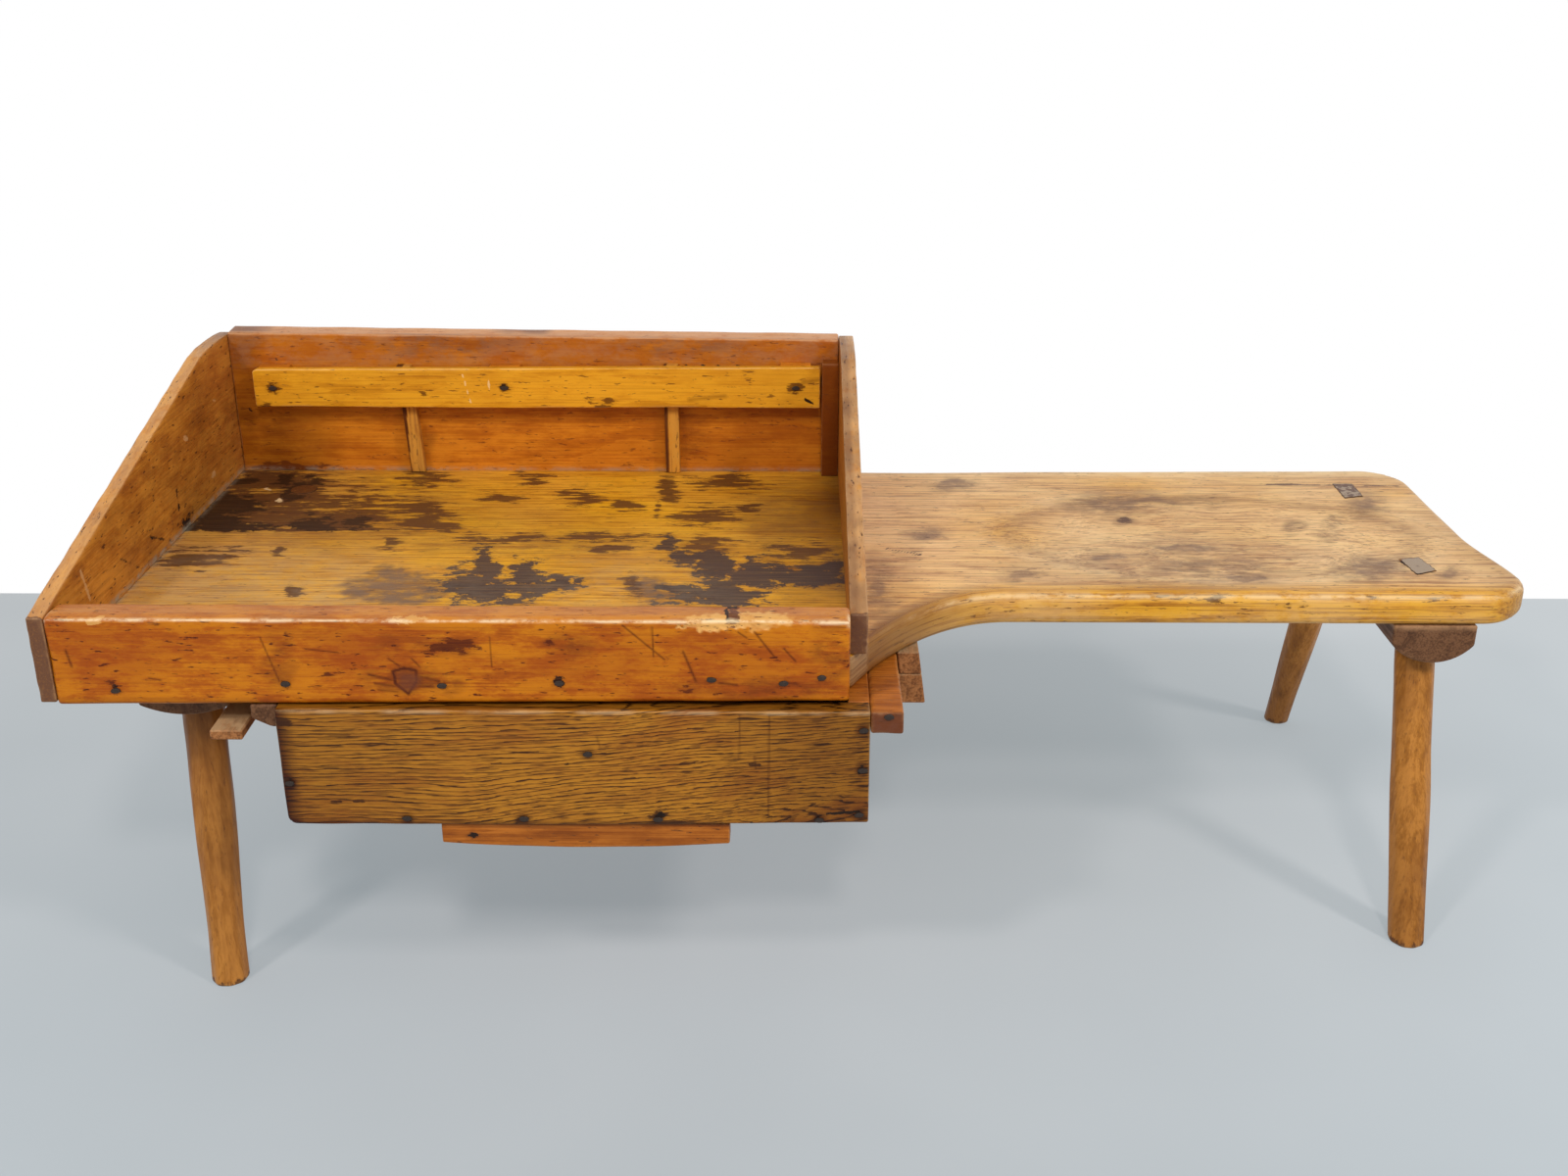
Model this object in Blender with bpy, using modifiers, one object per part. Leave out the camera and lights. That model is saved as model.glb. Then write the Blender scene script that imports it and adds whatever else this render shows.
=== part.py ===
"""A cobbler's bench: a plank seat with a walled tray at one end and a drawer hung under the tray.

Metres. Every place is measured from the tray's front left corner: x runs right from the left board's outer
face, y runs back from the rail's front face, and z runs up from the plank's top face, which is both the tray's
floor and the seat. One parent empty carries the whole bench and stands it on z = 0, about its own middle.
"""

import math

import bmesh
import bpy
from mathutils import Euler, Matrix, Vector
from mathutils.geometry import interpolate_bezier

# Clearances
GAP = 0.0003  # left between pieces that touch
RUNNING_GAP = 0.0013  # over the drawer, so that it slides
SIDE_RUNNING_GAP = 0.0030  # beside the drawer's cleats
OVERRUN = 0.008  # how far a cutter passes the faces that it cuts
WELD = 0.00001

# Plank
BENCH_LENGTH = 1.204
SEAT_HEIGHT = 0.310
PLANK_THICKNESS = 0.029
PLANK_DEPTH = 0.4483
SEAT_CUT = 0.126  # how far the seat's front lies behind the plank's front edge
SEAT_BACK_FLARE = 0.011  # how far the seat's back corner lies behind the tray's back edge
NECK_LENGTH = 0.126
NECK_OVERHANG = 0.002
NECK_PULL_SHARES = ((0.15, 0.33), (0.54, 0.96))  # the neck's two curve handles, of its length and cut
FRONT_CORNER_RADIUS = 0.045
BACK_CORNER_RADIUS = 0.044
SEAT_END_HOLLOW = 0.0140  # how far the seat's end lies inside its front corner
SEAT_END_TURN = 0.105  # length of the curve from that corner into the end
SEAT_TOP_ROUNDING = 0.010
SEAT_UNDER_ROUNDING = 0.008
DISH_DEPTH = 0.0055
DISH_LENGTH = 0.420
DISH_WIDTH = 0.230
DISH_CURVE = 0.045  # half height of the flattened ball that hollows the dish
DISH_PLACE_SHARES = (0.57, 0.44)  # of the seat's length and depth

# Tray
TRAY_LENGTH = 0.6061
LEFT_BOARD_THICKNESS = 0.0125
RIGHT_BOARD_THICKNESS = 0.0140
BACK_BOARD_THICKNESS = 0.0245
BACK_BOARD_LEFT_RISE = 0.1430
BACK_BOARD_RIGHT_RISE = 0.1365
RAIL_THICKNESS = 0.0268
RAIL_RISE = 0.0427
RAIL_LEFT_DROP = 0.0310
RAIL_RIGHT_DROP = 0.0255
RAIL_ROUNDING = 0.0065
RIGHT_BOARD_SETBACK = 0.0025  # the right board's front end lies this far behind the rail
SIDE_FRONT_RISE = 0.0415
RIGHT_FRONT_RISE = 0.0340
SIDE_BACK_RISE = 0.1385
SIDE_CREST_RISE = 0.1420
RIGHT_BOARD_LOSS = 0.0025  # how much lower the right board's crest is than the left one's
SLOPE_END_SHARE = 0.79  # of the side board's length, where its slope turns over
CREST_SHARE = 0.88
HEEL_ROUNDING = 0.009

# Tool rack
STRIP_LEFT_HEIGHT = 0.0385
STRIP_RIGHT_HEIGHT = 0.0415
STRIP_THICKNESS = 0.0090
STRIP_BOTTOM_RISE = 0.0710
STRIP_LEFT_INSET = 0.0265
STRIP_RIGHT_INSET = 0.0185
SLOT_DEPTH = 0.0100
SPACER_LENGTH = 0.030
SPACER_PLACE_SHARES = (0.034, 0.443, 0.957)  # of the strip's length, which are its nails' places too
DIVIDER_WIDTH = 0.014
DIVIDER_PLACE_SHARES = (0.268, 0.7235)
DIVIDER_LEAN = 0.006
CORNER_BLOCK_WIDTH = 0.0165
CORNER_BLOCK_DEPTH = 0.0190
CORNER_BLOCK_LIP = 0.0040
CORNER_BLOCK_HEIGHT = 0.116

# Battens and legs
LEFT_BATTEN_WIDTH = 0.0725
LEFT_BATTEN_DEPTH = 0.0320
LEFT_BATTEN_SIDE = 0.0240  # height of a batten's upright sides
LEFT_BATTEN_END_INSET = 0.0170
LEFT_BATTEN_PLACE = 0.0915
RIGHT_BATTEN_WIDTH = 0.0700
RIGHT_BATTEN_DEPTH = 0.0345
RIGHT_BATTEN_SIDE = 0.0180
RIGHT_BATTEN_END_INSET = 0.0020
RIGHT_BATTEN_END = 0.084  # from the right batten's middle to the seat's end
LEG_INSET = 0.0645  # from the plank's edge to the leg's axis, at the plank's top
LEFT_FOOT_SPREAD = 0.050  # how far each foot stands out past its tenon
FRONT_RIGHT_FOOT_SPREAD = 0.112
BACK_RIGHT_FOOT_SPREAD = 0.119
LEFT_FOOT_SHIFT = 0.0055  # how far each foot stands to the right of its tenon
RIGHT_FOOT_SHIFT = -0.0020
BACK_RIGHT_TENON_SHIFT = -0.0030  # how far this tenon lies to the right of its batten's middle
TENON_RADIUS = 0.0130
HIP_RADIUS = 0.0170
HIP_DROP = 0.012  # the tenon's taper starts this far below the batten
LEG_SIDES = 24
LEG_HEIGHT_SHARES = (0.0, 0.14, 0.28, 0.40, 0.52, 0.66)
FRONT_LEFT_RADII = (0.0153, 0.0146, 0.0154, 0.0164, 0.0170, 0.0162)
FRONT_RIGHT_RADII = (0.0150, 0.0155, 0.0166, 0.0172, 0.0164, 0.0164)
BACK_RADII = (0.0127, 0.0134, 0.0150, 0.0162, 0.0166, 0.0165)
TENON_SETBACK = 0.0004  # a tenon's end lies this far below the plank's top
WEDGE_THICKNESS = 0.0030
WEDGE_TIP = 0.0012
WEDGE_LENGTH = 0.022
WEDGE_WIDTH = 0.0230

# Drawer
DRAWER_LENGTH = 0.4539
DRAWER_LEFT_INSET = 0.1681  # from the tray's inside to the drawer's left side
DRAWER_DEPTH = 0.440
DRAWER_PROUD = 0.008  # how far the drawer's face stands in front of the rail
DRAWER_HEIGHT = 0.099
DRAWER_FRONT_THICKNESS = 0.018
DRAWER_SIDE_THICKNESS = 0.017
DRAWER_BACK_THICKNESS = 0.014
DRAWER_BOTTOM_THICKNESS = 0.010
CLEAT_HEIGHT = 0.0185
LEFT_CLEAT_WIDTH = 0.0205
RIGHT_CLEAT_WIDTH = 0.0250
BROKEN_CORNER_WIDTH = 0.016
BROKEN_CORNER_HEIGHT = 0.0078
BROKEN_CORNER_LENGTH = 0.034
PULL_LENGTH = 0.2265
PULL_LEFT_INSET = 0.119
PULL_HEIGHT = 0.0185
PULL_BELLY = 0.0040
PULL_THICKNESS = 0.018
PULL_SETBACK = 0.003

# Runners
HANGER_WIDTH = 0.018
HANGER_LEAN = 0.14  # outward run for each unit of drop
RUNNER_LEDGE = 0.0120  # how far a runner reaches under its cleat
RIGHT_RUNNER_HEIGHT = 0.0262
LEFT_RUNNER_HEIGHT = 0.0082
LEFT_RUNNER_WIDTH = 0.0385
LEFT_RUNNER_NOTCH = 0.0135
LEFT_NOTCH_LENGTH = 0.040
LEFT_RUNNER_PROUD = 0.006
LEFT_HANGER_START = 0.060
RIGHT_HANGER_START = 0.098
RUNNER_END_INSET = 0.035  # from the plank's back edge to the runners' back ends

# Nails
NAIL_HEAD = 0.0042  # from a square head's middle to its corner
NAIL_HEAD_HEIGHT = 0.0012
NAIL_SHANK = 0.0017
NAIL_POINT = 0.005
NAIL_GRIP = 0.012  # how far a nail enters the second piece
RAIL_NAIL_SHARES = ((0.077, 0.63), (0.292, 0.41), (0.489, 0.45), (0.636, 0.36),
                    (0.827, 0.24), (0.917, 0.34), (0.965, 0.17))  # of the rail's length, plank's thickness
FLOOR_NAIL_SHARES = (0.206, 0.408, 0.639, 0.916)
CORNER_NAIL_SHARES = (0.984, 0.900)
RIGHT_END_NAIL_SHARES = (0.153, 0.502)
LEFT_END_NAIL_SHARES = (0.638,)
END_NAIL_SHARE = 0.30  # of the drawer side's thickness, in from its outer face
MIDDLE_NAIL_SHARES = (0.523, 0.371)
CLEAT_NAIL_SHARES = (0.56, 0.20)
NAIL_SIDES = 4
NAIL_TURN = math.pi / NAIL_SIDES  # sets the heads square to the boards

EASE = 0.0010  # the small rounding of a board's arrises
ROUND_STEPS = 6
FLAT_ANGLE = math.radians(0.4)

# Places worked out from the sizes above
PLANK_LEFT = LEFT_BOARD_THICKNESS + GAP
PLANK_FRONT = RAIL_THICKNESS + GAP
PLANK_BACK = PLANK_FRONT + PLANK_DEPTH
TRAY_LEFT = LEFT_BOARD_THICKNESS + GAP
TRAY_RIGHT = TRAY_LEFT + TRAY_LENGTH
RIGHT_BOARD_LEFT = TRAY_RIGHT + GAP
RIGHT_BOARD_OUTER = RIGHT_BOARD_LEFT + RIGHT_BOARD_THICKNESS
BACK_FACE = PLANK_BACK + GAP
BACK_OUTER = BACK_FACE + BACK_BOARD_THICKNESS
SEAT_FRONT = PLANK_FRONT + SEAT_CUT
SEAT_BACK = PLANK_BACK + SEAT_BACK_FLARE
UNDERSIDE = -PLANK_THICKNESS
FLOOR = -SEAT_HEIGHT
RIGHT_BATTEN_PLACE = BENCH_LENGTH - RIGHT_BATTEN_END
BATTEN_TOP = UNDERSIDE - GAP
HIP = BATTEN_TOP - RIGHT_BATTEN_DEPTH - HIP_DROP
DRAWER_LEFT = TRAY_LEFT + DRAWER_LEFT_INSET
DRAWER_RIGHT = DRAWER_LEFT + DRAWER_LENGTH
DRAWER_FACE = -DRAWER_PROUD
DRAWER_END = DRAWER_FACE + DRAWER_DEPTH
DRAWER_TOP = UNDERSIDE - RUNNING_GAP
DRAWER_FLOOR = DRAWER_TOP - DRAWER_HEIGHT
FRONT_BACK_FACE = DRAWER_FACE + DRAWER_FRONT_THICKNESS
SIDE_BOTTOM = DRAWER_FLOOR + DRAWER_BOTTOM_THICKNESS + GAP
LEDGE_TOP = DRAWER_TOP - CLEAT_HEIGHT - GAP
RUNNER_BACK = PLANK_BACK - RUNNER_END_INSET
LEFT_CLEAT_OUTER = DRAWER_LEFT - GAP - LEFT_CLEAT_WIDTH
RIGHT_CLEAT_OUTER = DRAWER_RIGHT + GAP + RIGHT_CLEAT_WIDTH
STRIP_LEFT = TRAY_LEFT + STRIP_LEFT_INSET
STRIP_RIGHT = TRAY_RIGHT - STRIP_RIGHT_INSET
STRIP_BACK = BACK_FACE - GAP - SLOT_DEPTH - GAP
STRIP_FACE = STRIP_BACK - STRIP_THICKNESS
STRIP_LENGTH = STRIP_RIGHT - STRIP_LEFT

COLOURS = {
    "worn_pine": "C0853F",
    "shellacked_pine": "B5651D",
    "red_pine": "8E3F1A",
    "golden_pine": "D9932B",
    "pale_end_grain": "CF9A55",
    "dark_oak": "5F3F2A",
    "honey_ash": "B26F2B",
    "olive_chestnut": "8A5A22",
    "orange_pine": "C06A22",
    "dusty_oak": "8C5A35",
    "wrought_iron": "3B2A20",
}
ROUGHNESS = 0.45
IRON_ROUGHNESS = 0.60


def to_linear(value):
    """One colour channel, from the sRGB value that a screen shows to the linear one that light adds up in."""
    return value / 12.92 if value <= 0.04045 else ((value + 0.055) / 1.055) ** 2.4


def colour_of(code):
    """A six-digit sRGB colour code as linear red, green, blue and a full alpha."""
    channels = [int(code[start:start + 2], 16) / 255 for start in (0, 2, 4)]
    return [*map(to_linear, channels), 1]


def make_materials():
    """One surface for each wood, and one for the nails."""
    made = {}
    for name, code in COLOURS.items():
        iron = name == "wrought_iron"
        made[name] = bpy.data.materials.new(name)
        made[name].use_nodes = True
        surface = made[name].node_tree.nodes["Principled BSDF"]
        surface.inputs["Base Color"].default_value = colour_of(code)
        surface.inputs["Roughness"].default_value = IRON_ROUGHNESS if iron else ROUGHNESS
        surface.inputs["Metallic"].default_value = 1 if iron else 0
    return made


def new_collection(name):
    collection = bpy.data.collections.new(name)
    bpy.context.scene.collection.children.link(collection)
    return collection


def clear_scene():
    for obj in list(bpy.data.objects):
        bpy.data.objects.remove(obj, do_unlink=True)


clear_scene()
PARTS = new_collection("cobblers_bench")
CUTTERS = new_collection("cutters")
MATERIALS = make_materials()
BENCH = bpy.data.objects.new("bench_frame", None)
PARTS.objects.link(BENCH)
DRAWER = bpy.data.objects.new("drawer_carriage", None)
PARTS.objects.link(DRAWER)
DRAWER.parent = BENCH
DRAWER.location = ((DRAWER_LEFT + DRAWER_RIGHT) / 2, DRAWER_FACE, LEDGE_TOP)


def as_part(obj, material, carrier=BENCH):
    """Files a finished object among the parts, at the place it was modelled in, carried by an empty."""
    PARTS.objects.link(obj)
    obj.data.materials.clear()
    obj.data.materials.append(MATERIALS[material])
    obj.parent = carrier
    if carrier is DRAWER:
        obj.matrix_parent_inverse = Matrix.Translation(-DRAWER.location)
    return obj


def as_cutter(obj):
    CUTTERS.objects.link(obj)
    obj.parent = BENCH
    obj.hide_render = True
    obj.display_type = "WIRE"
    return obj


def cut(obj, cutter, operation="DIFFERENCE"):
    """Cuts a piece with a cutter, or keeps only what lies inside it."""
    boolean = obj.modifiers.new(cutter.name, "BOOLEAN")
    boolean.operation = operation
    boolean.object = cutter


def ease_edges(obj, width, steps=1, rule=None):
    """Rounds a piece's edges. A rule gives each edge a share of the width from its middle point."""
    bevel = obj.modifiers.new("Eased edges", "BEVEL")
    bevel.width = width
    bevel.segments = steps
    bevel.use_clamp_overlap = True
    if rule is None:
        bevel.limit_method = "ANGLE"
        bevel.angle_limit = math.radians(30)
        return
    bevel.limit_method = "WEIGHT"
    weights = obj.data.attributes.new("bevel_weight_edge", "FLOAT", "EDGE")
    for edge in obj.data.edges:
        first, second = (obj.data.vertices[index].co for index in edge.vertices)
        weights.data[edge.index].value = rule((first + second) / 2, (second - first).normalized())


def block(name, low, high):
    """A rectangular block between two opposite corners."""
    mesh = bpy.data.meshes.new(name)
    form = bmesh.new()
    bmesh.ops.create_cube(form, size=1)
    bmesh.ops.scale(form, vec=Vector(high) - Vector(low), verts=form.verts)
    form.to_mesh(mesh)
    form.free()
    obj = bpy.data.objects.new(name, mesh)
    obj.location = (Vector(low) + Vector(high)) / 2
    return obj


def board(name, low, high, material, carrier=BENCH):
    """A plain board with lightly eased arrises."""
    obj = block(name, low, high)
    ease_edges(obj, EASE)
    return as_part(obj, material, carrier)


PLANES = {
    "XY": Euler((0, 0, 0)),
    "XZ": Euler((math.pi / 2, 0, 0)),
    "YZ": Euler((math.pi / 2, 0, math.pi / 2)),
}


def slab(name, outline, near, far, plane):
    """A board sawn to an outline in one plane, its two faces at near and far along the third axis."""
    curve = bpy.data.curves.new(name, "CURVE")
    curve.dimensions = "2D"
    curve.fill_mode = "BOTH"
    curve.extrude = abs(far - near) / 2
    spline = curve.splines.new("POLY")
    spline.points.add(len(outline) - 1)
    for point, (across, along) in zip(spline.points, outline):
        point.co = (across, along, 0, 1)
    spline.use_cyclic_u = True
    guide = bpy.data.objects.new(name + "_outline", curve)
    bpy.context.scene.collection.objects.link(guide)
    graph = bpy.context.evaluated_depsgraph_get()
    mesh = bpy.data.meshes.new_from_object(guide.evaluated_get(graph))
    mesh.name = name
    form = bmesh.new()
    form.from_mesh(mesh)
    bmesh.ops.remove_doubles(form, verts=form.verts, dist=WELD)
    bmesh.ops.dissolve_limit(form, angle_limit=FLAT_ANGLE, verts=form.verts, edges=form.edges)
    bmesh.ops.recalc_face_normals(form, faces=form.faces)
    form.to_mesh(mesh)
    form.free()
    obj = bpy.data.objects.new(name, mesh)
    obj.matrix_world = guide.matrix_world
    bpy.data.objects.remove(guide, do_unlink=True)
    middle = (near + far) / 2
    obj.rotation_euler = PLANES[plane]
    obj.location = {"XY": (0, 0, middle), "XZ": (0, middle, 0), "YZ": (middle, 0, 0)}[plane]
    return obj


def arc(centre, radius, start, end, steps=ROUND_STEPS):
    """Points along a circle's arc, its two ends included, between two angles in degrees."""
    angles = [math.radians(start + (end - start) * step / steps) for step in range(steps + 1)]
    return [(centre[0] + radius * math.cos(angle), centre[1] + radius * math.sin(angle)) for angle in angles]


def turned(name, profile, sides):
    """A round piece: its profile, as radius and height from top to bottom, turned about its upright axis."""
    mesh = bpy.data.meshes.new(name)
    points = [(radius, 0, height) for radius, height in profile]
    mesh.from_pydata(points, [(index, index + 1) for index in range(len(points) - 1)], [])
    obj = bpy.data.objects.new(name, mesh)
    screw = obj.modifiers.new("Turned", "SCREW")
    screw.steps = sides
    screw.render_steps = sides
    screw.use_merge_vertices = True
    screw.merge_threshold = WELD
    screw.use_smooth_shade = True
    return obj


def nail(name, place, direction, length, pieces, carrier=BENCH):
    """A cut nail whose square head lies on a face, and the square hole for it in the pieces that it joins."""
    aim = Vector((0, 0, 1)).rotation_difference(-Vector(direction)).to_matrix()
    aim = (aim @ Matrix.Rotation(NAIL_TURN, 3, "Z")).to_euler()
    place = Vector(place) - Vector(direction) * GAP
    profile = [
        (0, NAIL_HEAD_HEIGHT),
        (NAIL_HEAD / 2, NAIL_HEAD_HEIGHT),
        (NAIL_HEAD, NAIL_HEAD_HEIGHT / 2),
        (NAIL_HEAD, 0),
        (NAIL_SHANK, 0),
        (NAIL_SHANK, -length),
        (0, -length - NAIL_POINT),
    ]
    obj = turned(name, profile, NAIL_SIDES)
    obj.location = place
    obj.rotation_euler = aim
    as_part(obj, "wrought_iron", carrier)
    hole_radius = NAIL_SHANK + 2 * GAP
    hole = [
        (0, NAIL_HEAD_HEIGHT),
        (hole_radius, NAIL_HEAD_HEIGHT),
        (hole_radius, -length - NAIL_POINT - GAP),
        (0, -length - NAIL_POINT - GAP),
    ]
    cutter = turned(name + "_hole", hole, NAIL_SIDES)
    cutter.location = place
    cutter.rotation_euler = aim
    as_cutter(cutter)
    for piece in pieces:
        cut(piece, cutter)


def plank_outline():
    """The plank seen from above: a full-depth tray end, a curved neck, and a narrower seat with round corners."""
    neck = Vector((TRAY_RIGHT + NECK_OVERHANG, PLANK_FRONT))
    reach = Vector((NECK_LENGTH, SEAT_CUT))
    first, second = (neck + reach * Vector(shares) for shares in NECK_PULL_SHARES)
    curve = interpolate_bezier(neck, first, second, neck + reach, 2 * ROUND_STEPS)
    front = (BENCH_LENGTH - FRONT_CORNER_RADIUS, SEAT_FRONT + FRONT_CORNER_RADIUS)
    end = BENCH_LENGTH - SEAT_END_HOLLOW
    back = (end - BACK_CORNER_RADIUS, SEAT_BACK - BACK_CORNER_RADIUS)
    turn_end = Vector((end, front[1] + SEAT_END_TURN))
    turn = interpolate_bezier(
        Vector((BENCH_LENGTH, front[1])),
        Vector((BENCH_LENGTH, front[1] + SEAT_END_TURN / 3)),
        Vector((end, front[1] + SEAT_END_TURN / 2)),
        turn_end,
        ROUND_STEPS,
    )
    return [
        (PLANK_LEFT, PLANK_FRONT),
        *[(point.x, point.y) for point in curve],
        *arc(front, FRONT_CORNER_RADIUS, -90, 0),
        *[(point.x, point.y) for point in turn[1:]],
        *arc(back, BACK_CORNER_RADIUS, 0, 90),
        (RIGHT_BOARD_OUTER, PLANK_BACK),
        (PLANK_LEFT, PLANK_BACK),
    ]


def plank_rounding(middle, direction):
    """Full rounding on the seat's upper edges, less on its lower ones, and none under the tray's walls."""
    if middle.x < TRAY_RIGHT + NECK_OVERHANG or abs(direction.z) > abs(direction.x) + abs(direction.y):
        return 0
    return 1 if middle.z > 0 else SEAT_UNDER_ROUNDING / SEAT_TOP_ROUNDING


def make_plank():
    plank = slab("bench_plank", plank_outline(), UNDERSIDE, 0, "XY")
    ease_edges(plank, SEAT_TOP_ROUNDING, 3, plank_rounding)
    as_part(plank, "worn_pine")
    seat_length = BENCH_LENGTH - RIGHT_BOARD_OUTER
    ball = bpy.data.meshes.new("seat_dish")
    form = bmesh.new()
    bmesh.ops.create_uvsphere(form, u_segments=32, v_segments=32, radius=1)
    # The ball's width at the plank's top face, as a share of its greatest width.
    waist = math.sqrt(1 - (1 - DISH_DEPTH / DISH_CURVE) ** 2)
    half_sizes = (DISH_LENGTH / 2 / waist, DISH_WIDTH / 2 / waist, DISH_CURVE)
    bmesh.ops.scale(form, vec=half_sizes, verts=form.verts)
    form.to_mesh(ball)
    form.free()
    dish = bpy.data.objects.new("seat_dish", ball)
    dish.location = (
        RIGHT_BOARD_OUTER + DISH_PLACE_SHARES[0] * seat_length,
        SEAT_FRONT + DISH_PLACE_SHARES[1] * (PLANK_BACK - SEAT_FRONT),
        DISH_CURVE - DISH_DEPTH,
    )
    cut(plank, as_cutter(dish))
    return plank


def side_outline(start, foot, front_rise, loss=0):
    """A side board seen from its side: a straight slope up from the front, turned over to a short level crest."""
    run = BACK_OUTER - start
    slope_end = start + SLOPE_END_SHARE * run
    crest = start + CREST_SHARE * run
    back_rise = SIDE_BACK_RISE - loss
    crest_rise = SIDE_CREST_RISE - loss
    heel = (BACK_OUTER - HEEL_ROUNDING, back_rise - HEEL_ROUNDING)
    turn = interpolate_bezier(
        Vector((slope_end, back_rise)),
        Vector(((slope_end + crest) / 2, crest_rise)),
        Vector((crest, crest_rise)),
        Vector((heel[0], back_rise)),
        ROUND_STEPS,
    )
    return [
        (start, foot),
        (BACK_OUTER, foot),
        *arc(heel, HEEL_ROUNDING, 0, 90, 3),
        *[(point.x, point.y) for point in reversed(turn[:-1])],
        (start, front_rise),
    ]


def make_walls():
    """The tray's four walls."""
    rail_profile = [
        (TRAY_LEFT, -RAIL_LEFT_DROP),
        (TRAY_RIGHT, -RAIL_RIGHT_DROP),
        (TRAY_RIGHT, RAIL_RISE),
        (TRAY_LEFT, RAIL_RISE),
    ]
    rail = slab("front_rail", rail_profile, 0, RAIL_THICKNESS, "XZ")
    worn_share = EASE / RAIL_ROUNDING

    def rail_rounding(middle, direction):
        """The front arris along the top is worn round, the others are only eased. Here +z is the front."""
        return 1 if middle.y > 0 and middle.z > 0 and abs(direction.y) < abs(direction.x) else worn_share

    ease_edges(rail, RAIL_ROUNDING, 3, rail_rounding)
    as_part(rail, "shellacked_pine")
    back_profile = [
        (TRAY_LEFT, UNDERSIDE),
        (TRAY_RIGHT, UNDERSIDE),
        (TRAY_RIGHT, BACK_BOARD_RIGHT_RISE),
        (TRAY_LEFT, BACK_BOARD_LEFT_RISE),
    ]
    back = slab("back_board", back_profile, BACK_FACE, BACK_OUTER, "XZ")
    ease_edges(back, EASE)
    as_part(back, "red_pine")
    left = slab("left_side_board", side_outline(0, UNDERSIDE, SIDE_FRONT_RISE), 0, LEFT_BOARD_THICKNESS, "YZ")
    ease_edges(left, EASE)
    as_part(left, "shellacked_pine")
    right_start = PLANK_FRONT + RIGHT_BOARD_SETBACK
    right_profile = side_outline(right_start, GAP, RIGHT_FRONT_RISE, RIGHT_BOARD_LOSS)
    right = slab("right_side_board", right_profile, RIGHT_BOARD_LEFT, RIGHT_BOARD_OUTER, "YZ")
    ease_edges(right, EASE)
    as_part(right, "shellacked_pine")
    return rail, back


def strip_height(place):
    """The strip's height at a place along the bench: it widens evenly from left to right."""
    share = (place - STRIP_LEFT) / STRIP_LENGTH
    return STRIP_LEFT_HEIGHT + share * (STRIP_RIGHT_HEIGHT - STRIP_LEFT_HEIGHT)


def strip_piece(start, end):
    """The outline of a piece as high as the strip, seen from the front."""
    return [
        (start, STRIP_BOTTOM_RISE),
        (end, STRIP_BOTTOM_RISE),
        (end, STRIP_BOTTOM_RISE + strip_height(end)),
        (start, STRIP_BOTTOM_RISE + strip_height(start)),
    ]


def make_rack():
    """The tool strip, held off the back board by three spacers, with two dividers and a corner block below."""
    strip = slab("rack_strip", strip_piece(STRIP_LEFT, STRIP_RIGHT), STRIP_FACE, STRIP_BACK, "XZ")
    ease_edges(strip, EASE)
    as_part(strip, "golden_pine")
    spacer_front = STRIP_BACK + GAP
    spacer_back = BACK_FACE - GAP
    spacers = []
    for side, share in zip(("left", "middle", "right"), SPACER_PLACE_SHARES):
        middle = STRIP_LEFT + share * STRIP_LENGTH
        start = max(STRIP_LEFT, middle - SPACER_LENGTH / 2)
        end = min(STRIP_RIGHT, middle + SPACER_LENGTH / 2)
        spacer = slab("rack_spacer_" + side, strip_piece(start, end), spacer_front, spacer_back, "XZ")
        spacers.append(as_part(spacer, "golden_pine"))
    for side, share, lean in zip(("left", "right"), DIVIDER_PLACE_SHARES, (DIVIDER_LEAN, 0)):
        foot = STRIP_LEFT + share * STRIP_LENGTH
        top = STRIP_BOTTOM_RISE + strip_height(foot)
        outline = [
            (foot, GAP),
            (foot + DIVIDER_WIDTH, GAP),
            (foot + DIVIDER_WIDTH - lean, top),
            (foot - lean, top),
        ]
        divider = slab("rack_divider_" + side, outline, spacer_front, spacer_back, "XZ")
        as_part(divider, "pale_end_grain")
    corner = [
        (TRAY_RIGHT - CORNER_BLOCK_WIDTH, spacer_back),
        (TRAY_RIGHT - CORNER_BLOCK_WIDTH, spacer_back - CORNER_BLOCK_LIP),
        (TRAY_RIGHT, spacer_back - CORNER_BLOCK_DEPTH),
        (TRAY_RIGHT, spacer_back),
    ]
    as_part(slab("rack_corner_block", corner, GAP, CORNER_BLOCK_HEIGHT, "XY"), "red_pine")
    return strip, spacers


def batten_outline(middle, width, depth, side):
    """A batten seen from its end: a flat top, short upright sides and a round belly."""
    half = width / 2
    belly = depth - side
    radius = (half ** 2 + belly ** 2) / (2 * belly)
    spread = math.degrees(math.asin(half / radius))
    centre = (middle, BATTEN_TOP - depth + radius)
    return [
        (middle - half, BATTEN_TOP),
        *arc(centre, radius, -90 - spread, -90 + spread, 2 * ROUND_STEPS),
        (middle + half, BATTEN_TOP),
    ]


def make_battens():
    left = slab(
        "left_batten",
        batten_outline(LEFT_BATTEN_PLACE, LEFT_BATTEN_WIDTH, LEFT_BATTEN_DEPTH, LEFT_BATTEN_SIDE),
        PLANK_FRONT + LEFT_BATTEN_END_INSET,
        PLANK_BACK - LEFT_BATTEN_END_INSET,
        "XZ",
    )
    right = slab(
        "right_batten",
        batten_outline(RIGHT_BATTEN_PLACE, RIGHT_BATTEN_WIDTH, RIGHT_BATTEN_DEPTH, RIGHT_BATTEN_SIDE),
        SEAT_FRONT + RIGHT_BATTEN_END_INSET,
        SEAT_BACK - RIGHT_BATTEN_END_INSET,
        "XZ",
    )
    for batten in (left, right):
        ease_edges(batten, EASE)
        as_part(batten, "dark_oak")
    return {"left": left, "right": right}


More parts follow.
